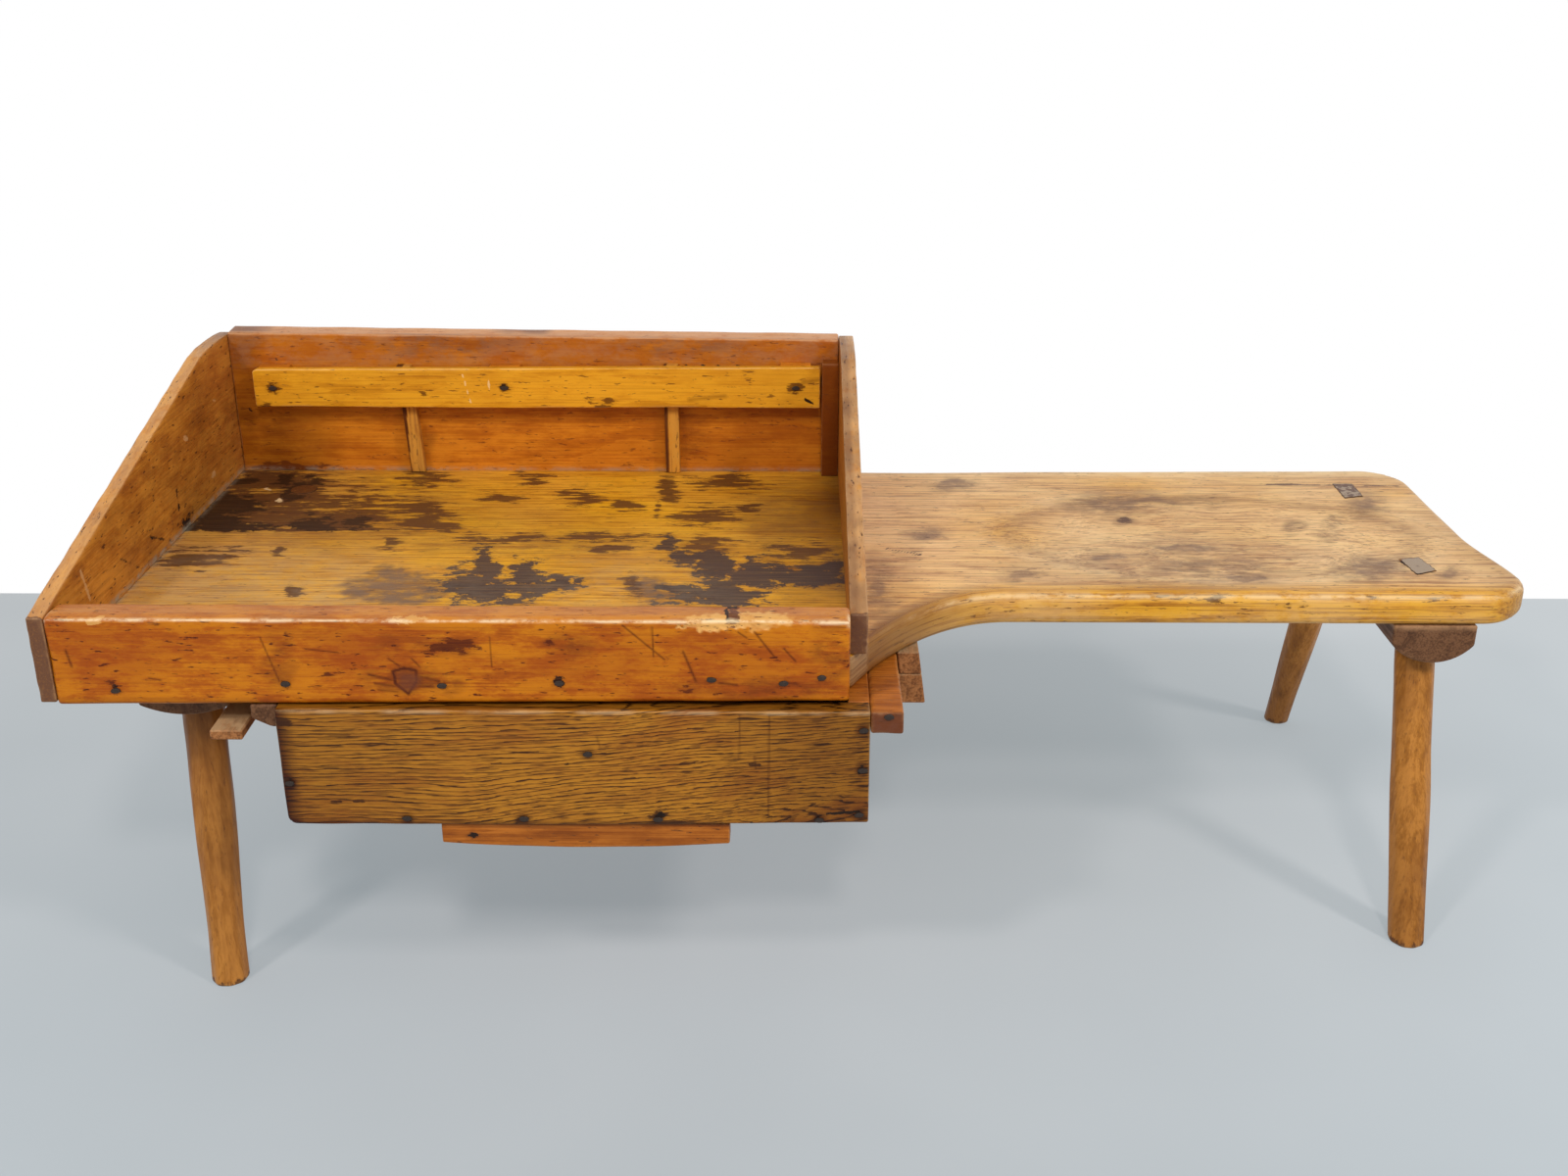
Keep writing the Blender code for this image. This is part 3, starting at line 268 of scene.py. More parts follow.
def wood(name, light, mid, dark, red, along="x", ring=7.0, pith=(0, -60, -90), rings=0.4, fibres=0.5,
         hairs=0.5, fleck=0.5, pores=0.0, blotch=0.4, gloss=0.40, spill=("2A1A12", "553018", "54403C"),
         smoke="5A4034", bare="DDB07C", film="FFD070", haze="7C605A", rub_and_highlight=None, wave=14, uneven=1.0,
         shine=0.22, dusty=0.0):
    """Rings are circles about the log's heart, pulled out of true by a slow noise, and each darkens
    slowly to its sharp outer line. Fibres, hairs, flecks and pores are noises stretched along the
    grain. Sizes are in millimetres."""
    material, tree, surface = new_material(name)

    def attribute(kind):
        return add(tree, "Attribute", {}, attribute_name=kind).outputs["Fac"]

    def vector(operation, *values):
        return add(tree, "VectorMath", dict(enumerate(values)), operation=operation).outputs[0]

    def noise(along_grain, scale, detail, roughness):
        stretched = vector("MULTIPLY", turned, (along_grain, 1, 1))
        settings = {"Vector": stretched, "Scale": scale, "Detail": detail, "Roughness": roughness}
        return add(tree, "TexNoise", settings).outputs["Fac"]

    def between(value, low, high, to_low=0.0, to_high=1.0):
        return mapped(tree, value, low, high, to_low, to_high)

    def times(one, other):
        return math(tree, "MULTIPLY", one, other)

    def plus(one, other):
        return math(tree, "ADD", one, other)

    # A stored lift bends the grain of a piece where the tree did not grow straight, and a stored drift
    # carries it sideways so that it follows a curved edge.
    lift = attribute("lift")
    shift = add(tree, "CombineXYZ", {"Y": plus(attribute("drift"), lift), "Z": lift}).outputs[0]
    bent = vector("MULTIPLY_ADD", shift, (-BEND, -BEND, -BEND), add(tree, "TexCoord", {}).outputs["Object"])
    place = {"Vector": bent, "Scale": (1000, 1000, 1000), "Rotation": TURNS[along], "Location": pith}
    turned = add(tree, "Mapping", place).outputs[0]

    circles = {"Vector": vector("MULTIPLY", turned, (0.10, 1, 1)), "Scale": 0.314 / ring, "Distortion": wave,
               "Detail": 4.0, "Detail Scale": 0.9, "Detail Roughness": 0.6}
    year = add(tree, "TexWave", circles, wave_type="RINGS", rings_direction="X", wave_profile="SAW")
    year = year.outputs["Fac"]
    fibre = noise(0.02, 0.55, 5, 0.7)
    hair = noise(0.020, 0.45, 2, 0.6)
    cloud = noise(0.30, 0.020, 6, 0.65)
    mottle = noise(0.35, 0.075, 6, 0.7)
    speck = noise(0.22, 0.40, 3, 0.6)
    ragged = noise(0.60, 0.080, 9, 0.72)
    drawn = noise(0.22, 0.110, 9, 0.72)

    late = times(between(year, 0.3, 0.97, 0, rings), between(cloud, 0.36, 0.62, 0.45, 1.25))
    depth = plus(late, between(fibre, 0.34, 0.66, -fibres / 2, fibres / 2))
    depth = plus(depth, between(mottle, 0.32, 0.68, -0.20 * uneven, 0.32 * uneven))

    stored = {kind: attribute(kind) for kind in STORED}
    depths, halo = {}, 0.0
    for kind, reach in PULL.items():
        edge_noise = drawn if kind == "umber" else ragged
        pulled = plus(stored[kind], between(edge_noise, 0.2, 0.8, -reach / 2, reach / 2))
        near = math(tree, "GREATER_THAN", stored[kind], 0.04)
        shows = between(fibre, 0.34, 0.50, COVER[kind] * 0.8, COVER[kind])
        depths[kind] = times(times(between(pulled, 0.46, 0.54), near), shows)
        if kind != "pale":
            halo = plus(times(between(pulled, 0.15, 0.5), times(near, 0.20)), halo)
    spots = times(between(speck, 0.615, 0.69), fleck)
    smears = plus(between(ragged, 0.40, 0.58, 0.05, 0.45), between(drawn, 0.42, 0.56, 0.0, 0.45))
    layers = [
        ("MIX", between(hair, 0.52, 0.64, 0, hairs), dark),
        ("MIX", between(cloud, 0.44, 0.66, 0, blotch), red),
        ("MIX", times(stored["warm"], between(mottle, 0.3, 0.6, 0.6, 1.0)), red),
        ("MULTIPLY", stored["film"], film),
        ("MIX", times(stored["bare"], between(ragged, 0.30, 0.55, 0.3, 1.0)), bare),
        ("MULTIPLY", stored["shade"], SHADE),
        ("MIX", times(stored["smudge"], smears), smoke),
        ("MIX", times(stored["haze"], between(ragged, 0.36, 0.54, 0.45, 1.0)), haze),
        ("MIX", spots, spill[1]),
        ("MIX", halo, spill[1]),
        ("MIX", depths["umber"], spill[1]),
        ("MIX", depths["grey"], spill[2]),
        ("MIX", depths["pale"], bare),
        ("MIX", depths["stain"], spill[0]),
        ("MIX", times(stored["dust"], between(ragged, 0.40, 0.60)), DUST),
        # Rubbed arrises go pale. Where a wood has its own rub colour, as the seat and the rail do, it is also a
        # painted highlight.
        ("MIX", times(stored["edge"], between(ragged, 0.38, 0.56, 0.1, 1.0)), rub_and_highlight or bare),
    ]
    if dusty:
        upward = add(tree, "SeparateXYZ", {0: add(tree, "TexCoord", {}).outputs["Normal"]}).outputs["Z"]
        settled = times(between(upward, 0.5, 0.9, 0, dusty), between(ragged, 0.36, 0.56, 0.4, 1.0))
        layers.append(("MIX", settled, bare))
    if pores:
        # Open pores: dark dashes that follow the rings, coarser than the real ones so that they show.
        broken = between(noise(0.02, 0.45, 2, 0.6), 0.32, 0.48, 0.4, 1.0)
        layers.insert(3, ("MIX", times(times(between(year, 0.72, 0.88), broken), pores), spill[1]))
        layers.insert(4, ("MIX", between(noise(0.06, 0.75, 1, 0.5), 0.55, 0.62, 0, pores * 0.5), spill[1]))
    shown = toned(tree, depth, [(0.0, light), (0.35, mid), (0.95, dark)])
    for blend, amount, over in layers:
        share = add(tree, "Math", {0: amount, 1: 1.0}, operation="MULTIPLY", use_clamp=True).outputs[0]
        mix = {0: share, 6: shown, 7: colour(over)}
        shown = add(tree, "Mix", mix, data_type="RGBA", blend_type=blend).outputs[2]
    tree.links.new(shown, surface.inputs["Base Color"])

    rough = plus(between(fibre, 0.3, 0.7, gloss - 0.07, gloss + 0.12), times(stored["dust"], 0.3))
    tree.links.new(plus(rough, times(depths["stain"], 0.1)), surface.inputs["Roughness"])
    surface.inputs["Specular IOR Level"].default_value = shine
    height = plus(times(fibre, 0.9), times(ragged, 0.8))
    height = plus(height, plus(times(spots, -0.6), times(depths["stain"], -0.3)))
    bump = add(tree, "Bump", {"Height": height, "Strength": 0.7, "Distance": RELIEF})
    tree.links.new(bump.outputs[0], surface.inputs["Normal"])
    return material


# Pine, planed by hand and rubbed by use: bare and tan where it is sat on, golden under its shellac. Its bare
# colour is also a painted sheen along the seat's back, and its rub colour a painted highlight on its front
# arris.
seat_pine = wood("worn_pine", "F4C888", "E6B47A", "94623A", "C08A56", ring=8, pith=(0, 60, -330),
                 hairs=0.6, fleck=0.7, uneven=1.05, haze="785640", gloss=0.42, smoke="6E4A2C", bare="F8D6A0",
                 film="F4D640", rub_and_highlight="FAE0B0", spill=("36200F", "54301A", "41302B"))
# Pine under old orange shellac: deep amber, with flecks and small knots showing through the varnish.
# Its rub colour is the rail's rubbed front arris and a painted highlight along it.
shellac_pine = wood("shellacked_pine", "C8760E", "B05A0A", "7C3406", "98400A", ring=17,
                    pith=(0, 400, -210), rings=0.18, fibres=0.3, hairs=0.25, fleck=0.95, blotch=0.5,
                    uneven=1.5, gloss=0.32, bare="DDA45A", smoke="6A2E0A", rub_and_highlight="F6DDB2", shine=0.18,
                    spill=("2A1710", "551F08", "54403C"))
side_pine = wood("shellacked_pine_side", "E29838", "CC8028", "844412", "A05A24", along="y", ring=18,
                 pith=(0, 90, -400), rings=0.22, fibres=0.3, hairs=0.25, uneven=1.3, fleck=0.95, blotch=0.6,
                 gloss=0.42, bare="CFA06C", smoke="54280F", spill=("241610", "4E260E", "684430"))
# The same pine under darker, redder shellac, in the tray's shade.
red_pine = wood("red_shellacked_pine", "D4801C", "C06C14", "96480A", "A8560E", ring=22, pith=(0, 300, -500),
                rings=0.35, fibres=0.35, hairs=0.25, fleck=0.7, blotch=0.5, gloss=0.36, bare="D8A070",
                smoke="6A300C", spill=("26140C", "6A300C", "54403C"))
gold_pine = wood("golden_pine", "E8A222", "DA921A", "A8660C", "BC7412", ring=20, pith=(0, 500, -260),
                 rings=0.3, fibres=0.35, hairs=0.25, fleck=0.8, blotch=0.3, gloss=0.36, bare="F0C88A",
                 spill=("2A1A0E", "6E3E0C", "54403C"))
end_pine = wood("pale_end_grain", "D28A26", "BC7018", "7C420C", "98500E", along="z", ring=6,
                pith=(0, 30, 30), fleck=0.6, gloss=0.55, bare="CE9A48")
# Oak, adzed and never finished: dark with age and hands, dull.
dark_oak = wood("dark_oak", "744E32", "5E3C24", "402716", "583622", along="y", ring=14, pith=(0, -640, -30),
                rings=0.35, fibres=0.6, fleck=0.6, gloss=0.55, bare="A87E58")
# Ash, shaved round with a drawknife and waxed: honey brown with long, quiet fibres.
honey_ash = wood("honey_ash", "BC7C34", "A26622", "7A481A", "8E5622", along="z", ring=10, pith=(0, 40, 25),
                 rings=0.25, fibres=0.35, hairs=0.2, fleck=0.45, blotch=0.6, gloss=0.36, bare="D2A468",
                 spill=("2A1A12", "553018", "A08A72"))
# Chestnut, oiled: dark brown, with open pores in dense dark dashes and slow waves of early wood.
chestnut = wood("olive_chestnut", "B4761E", "985C18", "60360C", "823E0E", ring=3.4, pith=(0, 300, -150),
                rings=0.25, fibres=0.2, hairs=0.1, fleck=0.2, pores=0.95, blotch=0.5, bare="D8AC70",
                haze="C8A47A", wave=11, uneven=0.6, spill=("20130B", "3A1C08", "5B4338"))
# Plain pine for the drawer's box, and old split oak, grey with dust on top, for what carries it.
drawer_pine = wood("orange_pine", "B86A20", "A05614", "70350C", "8A460E", ring=12, pith=(0, 60, -90),
                   fleck=0.8, blotch=0.5, gloss=0.45, bare="D09A5C")
dusty_oak = wood("dusty_oak", "AA7040", "905A30", "5C381E", "744628", along="y", ring=9,
                 pith=(0, -700, -70), rings=0.45, fibres=0.7, fleck=0.6, gloss=0.65, bare="BE9A70", dusty=0.8)
print("woods:", len([m for m in bpy.data.materials if m.use_nodes]) - 1)

# %% [markdown]
# ## Wrought iron
# The nails are cut from wrought iron and have rusted to a dull near-black brown. Rust is rough and hardly
# shines, so the metal shows only as a faint gleam.

# %% Rusted iron
def iron(name, dark, light):
    """A crust of rust in two browns, from a fine noise that also roughens it."""
    material, tree, surface = new_material(name)
    place = add(tree, "TexCoord", {}).outputs["Object"]
    crust = add(tree, "TexNoise", {"Vector": place, "Scale": 900, "Detail": 4}).outputs["Fac"]
    tree.links.new(toned(tree, crust, [(0.0, dark), (1.0, light)]), surface.inputs["Base Color"])
    surface.inputs["Metallic"].default_value = 0.15
    surface.inputs["Roughness"].default_value = 0.62
    bump = add(tree, "Bump", {"Height": crust, "Strength": 0.7, "Distance": RELIEF})
    tree.links.new(bump.outputs[0], surface.inputs["Normal"])
    return material


rusted_iron = iron("wrought_iron", "211814", "4A382C")
dusty_iron = iron("dusty_wrought_iron", "1E1510", "44342A")
print("iron:", rusted_iron.name, dusty_iron.name)

# %% [markdown]
# ## A board
# A board could be a cube with a Bevel modifier. It is worked out instead: the six faces of a block are
# ruled with fine lines, and each point near an edge is drawn in to the round. To round a block, take the
# nearest point of a smaller block inside it and step out from there by the radius. That one rule rounds
# faces, edges and corners alike, and the radius may change along the board, as wear does.

# %% From a block to a worn board
def ramp(value, start, end):
    """0 up to the start, 1 from the end on, and a straight slope between. The end may be the lower."""
    return np.clip((value - start) / (end - start), 0, 1)


def lines(low, high, round_by, spacing):
    """Places of the ruled lines along one side: at equal angles of the round, then evenly spaced."""
    turn = round_by * (1 - np.tan(np.radians([45, 30, 15])))
    middle = np.linspace(low + round_by, high - round_by, max(2, int((high - low) / spacing)))
    return np.concatenate([low + turn, middle, (high - turn)[::-1]])


def squares_of(number):
    """The four-sided faces between the points of a grid, given by their numbers."""
    return np.stack([number[:-1, :-1], number[1:, :-1], number[1:, 1:], number[:-1, 1:]], -1).reshape(-1, 4)


def block(low, high, round_by, spacing):
    """The points and four-sided faces of a block's six ruled sides, joined where they meet."""
    rules = [lines(a, b, round_by, step) for a, b, step in zip(low, high, spacing)]
    points, faces, count = [], [], 0
    for axis, across, along in ((0, 1, 2), (1, 2, 0), (2, 0, 1)):
        first, second = np.meshgrid(rules[across], rules[along], indexing="ij")
        squares = squares_of(np.arange(first.size).reshape(first.shape))
        for level, outward in ((low[axis], squares[:, ::-1]), (high[axis], squares)):
            side = np.empty((first.size, 3))
            side[:, axis], side[:, across], side[:, along] = level, first.ravel(), second.ravel()
            points.append(side)
            faces.append(outward + count)
            count += first.size
    points, faces = np.concatenate(points), np.concatenate(faces)
    _, kept, number = np.unique(np.round(points, 3), axis=0, return_index=True, return_inverse=True)
    return points[kept], number.reshape(-1)[faces]


def ripple(points, length, seed=0):
    """A smooth unevenness, mostly between -1 and 1: the sum of five sines that run different ways."""
    pick = np.random.default_rng(seed)
    total = np.zeros(len(points))
    for _ in range(5):
        way = pick.normal(size=3)
        way *= 2 * np.pi / length / np.linalg.norm(way) * pick.uniform(0.6, 1.6)
        total += np.sin(points @ way + pick.uniform(0, 6.28))
    return total / 3


def worn(points, low, high, radius):
    """Rounds a block: each point steps out by the radius from the nearest point of the block inside it.
    Also says how near each point is to an arris, from 0 on the flat to 1 on the arris."""
    radius = np.broadcast_to(radius, len(points))[:, None]
    core = np.clip(points, low + radius, high - radius)
    out = points - core
    length = np.linalg.norm(out, axis=1, keepdims=True)
    near = np.sort(np.abs(out) / radius, axis=1)[:, 1]
    return core + out * radius / length, near


def board(node, spacing, radius, wear=0.3, seed=1, length=60):
    """A block of a solid's size with worn arrises: its points, its faces, how near each point is to an
    arris, and the block's lowest and highest corner."""
    low, high = span(node)
    points, faces = block(low, high, radius, spacing)
    points, near = worn(points, low, high, radius * (1 + wear * ripple(points, length, seed)))
    return points, faces, near, low, high


def carry(level, low, high, new_low, new_high, kept=6):
    """Moves a board's two edges. The last few millimetres at each edge keep their shape, and the wood
    between them is stretched evenly."""
    share = ramp(level, low + kept, high - kept)
    return level + (1 - share) * (new_low - low) + share * (new_high - high)


def along_board(x, low, high, left, right):
    """A height that changes evenly from a board's left end to its right end."""
    return left + (right - left) * (x - low[0]) / (high[0] - low[0])


def belly(x, low, high, deep):
    """The lower edge of a board that is an arc of a circle, deeper in the middle than at its ends."""
    middle, half = (low[0] + high[0]) / 2, (high[0] - low[0]) / 2
    circle = (half ** 2 + deep ** 2) / (2 * deep)
    return low[2] + circle - np.sqrt(circle ** 2 - (x - middle) ** 2)


def to_circle(one, other):
    """What a square's point is multiplied by to bring the square to a circle: its longer side over its
    distance from the middle."""
    return np.maximum(np.abs(one), np.abs(other)) / np.maximum(np.hypot(one, other), 1e-9)


def wander(pixels):
    """The pixels pushed about by smooth noises, so that no oval drawn with them stays an oval."""
    flat_points = np.column_stack([pixels, np.zeros(len(pixels))])
    pushes = ((5.0, 44, 21), (2.2, 17, 22), (2.0, 40, 23), (1.0, 15, 24))
    push = [wide * ripple(flat_points, length, seed) for wide, length, seed in pushes]
    return pixels + np.column_stack([push[0] + push[1], push[2] + push[3]])


def patches(pixels, ovals):
    """How deep a point lies in the nearest of some ovals, each given by the pixels of its left, top,
    right and bottom: 1 at an oval's middle, a half on its outline, 0 at twice its size."""
    depth = np.zeros(len(pixels))
    pixels = wander(pixels)
    for left, top, right, bottom in ovals:
        middle, half = np.array([left + right, top + bottom]) / 2, np.array([right - left, bottom - top]) / 2
        depth = np.maximum(depth, 1 - np.linalg.norm((pixels - middle) / half, axis=1) / 2)
    return depth


def smear(pixels, ovals, gain=2.0, less=0.0):
    """Soft ovals: their depth times the gain, less a part that makes them smaller."""
    return np.clip(gain * patches(pixels, ovals) - less, 0, 1)


def strokes(pixels, marks):
    """The same for straight strokes, each from one pixel to another and so many pixels thick."""
    depth = np.zeros(len(pixels))
    for left, top, right, bottom, thick in marks:
        start, run = np.array([left, top]), np.array([right - left, bottom - top])
        along = np.clip((pixels - start) @ run / (run @ run), 0, 1)
        away = np.linalg.norm(pixels - start - along[:, None] * run, axis=1)
        depth = np.maximum(depth, 1 - away / thick)
    return depth


def rings_round(points, nails, reach):
    """The dark that rust leaves round each nail: 1 at the nail, falling to 0 at the reach."""
    depth = np.zeros(len(points))
    for node in nails:
        middle = sum(span(node)) / 2
        middle[1] = points[:, 1].min()
        depth = np.maximum(depth, 1 - np.linalg.norm(points - middle, axis=1) / reach)
    return depth


def make_piece(name, points, faces, stored, material, body, node):
    """Puts a surface into a mesh, with what it stores, and lets it stand for its solid."""
    mesh = bpy.data.meshes.new(name)
    mesh.from_pydata(to_frame(points).tolist(), [], faces if isinstance(faces, list) else faces.tolist())
    for kind, values in stored.items():
        values = np.clip(values, 0, 1).astype(np.float32)
        mesh.attributes.new(kind, "FLOAT", "POINT").data.foreach_set("value", values)
    mesh.shade_smooth()
    mesh.materials.append(material)
    piece = bpy.data.objects.new(name, mesh)
    bpy.context.scene.collection.objects.link(piece)
    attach(piece, body)
    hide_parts(node)
    print(name, len(points), "points", len(faces), "faces")
    return piece


print("a block of 1 cm has", len(block(np.zeros(3), np.full(3, 10.0), 1.0, (3, 3, 3))[0]), "points")

# %% [markdown]
# ## The plank
# One pine plank is both the tray's floor and the seat. Seen from above it is a full-width end, a curved
# neck and a narrower seat with round corners. It could be cut out with booleans, but a surface that is bent
# from one ruled rectangle keeps its lines along the grain, so stains can be stored evenly. The rectangle's
# two right corners are made round by turning squares into circles: in a corner, each ring of the square
# goes to the circle of that size.

# %% The plank's outline
plank_low, plank_high = span("bench_plank")
THICKNESS = plank_high[2] - plank_low[2]
SEAT_START = span("right_side_board")[1][0]
TRAY_BACK = TRAY[3] - 0.3
NECK = np.array([[620.9, 27.1], [639.8, 68.7], [690.0, 151.0], [756.0, 153.1]])  # a curve and its two handles
ROUND_TOP, ROUND_UNDER = 10.0, 8.0
CORNER_X, CORNER_Y = 45.0, 56.0  # how far the seat's two round corners reach
BACK_FLARE = 11  # how much wider the plank gets towards its right end
END_HOLLOW, END_STARTS = 14, 980  # the dip in the plank's right end, and where its pull begins


def neck_front(x):
    """Where the plank's front edge lies: the neck's curve is the usual cubic of its four points."""
    t = np.linspace(0, 1, 60)[:, None]
    weights = (1 - t) ** 3, 3 * t * (1 - t) ** 2, 3 * t ** 2 * (1 - t), t ** 3
    curve = sum(weight * point for weight, point in zip(weights, NECK))
    return np.interp(x, curve[:, 0], curve[:, 1])


def plank_place(x, y):
    """From the ruled rectangle to the plank: the right corners are rounded, the front is drawn back to
    the neck's curve, the seat's back flares out and its end is hollowed."""
    low_y, high_x, high_y = plank_low[1], plank_high[0], TRAY_BACK
    right = (x - (high_x - CORNER_X)) / CORNER_X
    for edge, sign in ((low_y + CORNER_Y, -1), (high_y - CORNER_Y, 1)):
        side = sign * (y - edge) / CORNER_Y
        inside = (right > 0) & (side > 0)
        size = to_circle(right, side)
        x = np.where(inside, high_x - CORNER_X + right * size * CORNER_X, x)
        y = np.where(inside, edge + sign * side * size * CORNER_Y, y)
    flare = BACK_FLARE * ramp(x, SEAT_START, high_x - 40)
    y = carry(y, low_y, high_y, neck_front(x), TRAY_BACK + flare, 15)
    step = ramp(y, 190, 300)
    hollow = END_HOLLOW * step ** 2 * (3 - 2 * step)
    return x - hollow * ramp(x, END_STARTS, END_STARTS + 220), y


print("neck from", neck_front(TRAY[2]).round(1), "to", neck_front(800).round(1))

# %% The plank's surface
LINES_ALONG, LINES_ACROSS = 452, 166
left, right = plank_low[0], plank_high[0]
front, back = plank_low[1], TRAY_BACK
turn = ROUND_TOP * np.linspace(0, 1, 7)[:-1]
rules = []
for low, high, count in ((left, right, LINES_ALONG), (front, back, LINES_ACROSS)):
    between_rounds = np.linspace(low + ROUND_TOP, high - ROUND_TOP, count)
    rules.append(np.concatenate([low + turn, between_rounds, (high - turn)[::-1]]))
grid_x, grid_y = (side.ravel() for side in np.meshgrid(*rules, indexing="ij"))
number = np.arange(grid_x.size).reshape(len(rules[0]), len(rules[1]))
rim = np.concatenate([number[:-1, 0], number[-1, :-1], number[:0:-1, -1], number[0, :0:-1]])
middle_x, middle_y = (left + right) / 2, (front + back) / 2
half_x, half_y = (right - left) / 2, (back - front) / 2

# The seat's edge is a full round, and under the tray's walls it is nearly square.
inset = np.minimum(np.minimum(grid_x - left, right - grid_x), np.minimum(grid_y - front, back - grid_y))
round_by = np.interp(grid_x, [SEAT_START - 10, SEAT_START + 45], [1.0, ROUND_TOP])
on_round = inset < ROUND_TOP
angle = np.pi / 2 * np.clip(1 - inset / ROUND_TOP, 0, 1)
drawn_in = inset * (1 - round_by / ROUND_TOP) + round_by * (1 - np.sin(angle))
new_inset = np.where(on_round, drawn_in, inset)
height = np.where(on_round, -round_by * (1 - np.cos(angle)), 0.0)
x = middle_x + (grid_x - middle_x) * (half_x - new_inset) / (half_x - inset + 1e-9)
y = middle_y + (grid_y - middle_y) * (half_y - new_inset) / (half_y - inset + 1e-9)
rows = [np.stack([*plank_place(x, y), height], -1)]
edge = [np.clip(1 - np.abs(angle - np.pi / 4) / (np.pi / 4), 0, 1) * on_round]

# Below the top come rings of the rim: two down the side, then six round the lower arris.
side_level = ROUND_UNDER - THICKNESS
lower_turn = np.radians(np.linspace(0, 90, 6))
rings = [(0.35 * side_level, 0.0, 0), (0.65 * side_level, 0.0, 0)]
rings += [(side_level - ROUND_UNDER * np.sin(t), ROUND_UNDER * (1 - np.cos(t)), 0.5) for t in lower_turn]
side_faces, above, count = [], rim, grid_x.size
for level, ring_inset, nearness in rings:
    ring_x = middle_x + (grid_x[rim] - middle_x) * (half_x - ring_inset) / half_x
    ring_y = middle_y + (grid_y[rim] - middle_y) * (half_y - ring_inset) / half_y
    rows.append(np.stack([*plank_place(ring_x, ring_y), np.minimum(level, height[rim] - 0.2)], -1))
    edge.append(np.full(len(rim), nearness))
    below = count + np.arange(len(rim))
    side_faces.append(np.stack([below, np.roll(below, -1), np.roll(above, -1), above], -1))
    above, count = below, count + len(rim)
plank_points = np.concatenate(rows)
plank_faces = np.concatenate([squares_of(number), *side_faces]).tolist() + [above[::-1].tolist()]

# The seat is dished by use: a shallow bowl that fades out at its rim.
plank_x, plank_y, plank_z = plank_points.T
DISH_MIDDLE, DISH_REACH, DISH_DEPTH = (959, 295), (215, 118), 5.8
from_dish = np.hypot((plank_x - DISH_MIDDLE[0]) / DISH_REACH[0], (plank_y - DISH_MIDDLE[1]) / DISH_REACH[1])
bowl = np.clip(1 - from_dish ** 2, 0, 1)
upper = plank_z > -9.9
plank_z -= DISH_DEPTH * bowl ** 1.2 * upper
plank_z += 0.35 * ripple(plank_points, 150, 3) * upper * (plank_x > SEAT_START + 40)
print("plank:", len(plank_points), "points")

# %% [markdown]
# ## Spills and wear on the plank
# The tray's floor is golden where tools lay on it, nearly black in its far corner, and holds two great
# spills by the rail. The seat is paler and greyer. Each mark is given by the pixels of its outline in the
# photograph.

# %% Marks on the plank
TRAY_BLACK = [
    (186, 520, 240, 546), (203, 504, 262, 526), (300, 488, 322, 500), (282, 479, 308, 495),
    (286, 502, 312, 512), (316, 485, 330, 497), (228, 534, 282, 546), (348, 528, 380, 540),
    (296, 528, 340, 543), (240, 486, 262, 494), (178, 540, 200, 548)]
TRAY_BROWN = [
    (214, 478, 330, 506), (212, 498, 372, 524), (200, 512, 388, 545), (300, 522, 384, 544),
    (396, 512, 456, 528), (404, 526, 462, 540), (430, 534, 450, 543), (418, 483, 460, 496),
    (168, 560, 232, 576), (280, 559, 292, 567), (297, 600, 311, 609), (385, 549, 412, 561),
    (488, 501, 526, 511), (528, 483, 556, 493), (584, 498, 616, 513), (622, 511, 652, 521),
    (675, 485, 692, 511), (716, 487, 770, 500), (730, 483, 760, 492), (693, 517, 742, 536),
    (750, 514, 770, 522), (669, 514, 675, 526), (698, 550, 744, 562), (638, 588, 658, 607),
    (795, 555, 850, 572), (470, 546, 560, 553), (580, 545, 660, 552), (596, 556, 640, 562),
    (250, 548, 330, 553)]
TRAY_GREY = [
    (482, 558, 508, 594), (444, 582, 514, 616), (478, 588, 534, 617), (516, 574, 556, 613),
    (543, 587, 588, 604), (578, 589, 600, 597), (672, 547, 694, 562), (682, 559, 708, 578),
    (700, 561, 732, 570), (712, 566, 753, 592), (740, 572, 798, 604), (684, 600, 784, 618),
    (772, 578, 860, 598), (840, 569, 862, 590), (714, 592, 764, 606), (672, 596, 706, 604)]
TRAY_PALE = [(267, 497, 281, 502), (280, 509, 289, 513)]
TRAY_SMUDGES = [(180, 480, 440, 548), (300, 500, 470, 545), (440, 545, 700, 562), (836, 484, 866, 536),
                (838, 550, 866, 596), (760, 500, 860, 546)]
SPILL_RIMS = [(350, 586, 456, 616), (376, 576, 416, 602), (640, 590, 700, 612)]
SPILL_HAZE = [(362, 588, 452, 616), (388, 578, 416, 600), (348, 596, 380, 612), (644, 592, 690, 610)]
SEAT_BROWN = [(1222, 608, 1248, 615), (1306, 613, 1316, 617), (1328, 613, 1338, 617), (1397, 608, 1408, 611),
              (1178, 607, 1196, 612), (1456, 607, 1470, 612), (1142, 528, 1152, 534)]
SEAT_SMUDGES = [
    (1104, 502, 1180, 525), (1088, 508, 1125, 520), (1160, 506, 1240, 517), (956, 489, 994, 502),
    (931, 539, 963, 551), (882, 575, 908, 628), (1374, 505, 1414, 528), (1362, 569, 1442, 593),
    (1464, 578, 1494, 591), (1024, 580, 1062, 592), (1312, 532, 1328, 544), (1340, 540, 1364, 551),
    (1350, 527, 1374, 537), (1136, 526, 1158, 536), (1180, 570, 1290, 590)]
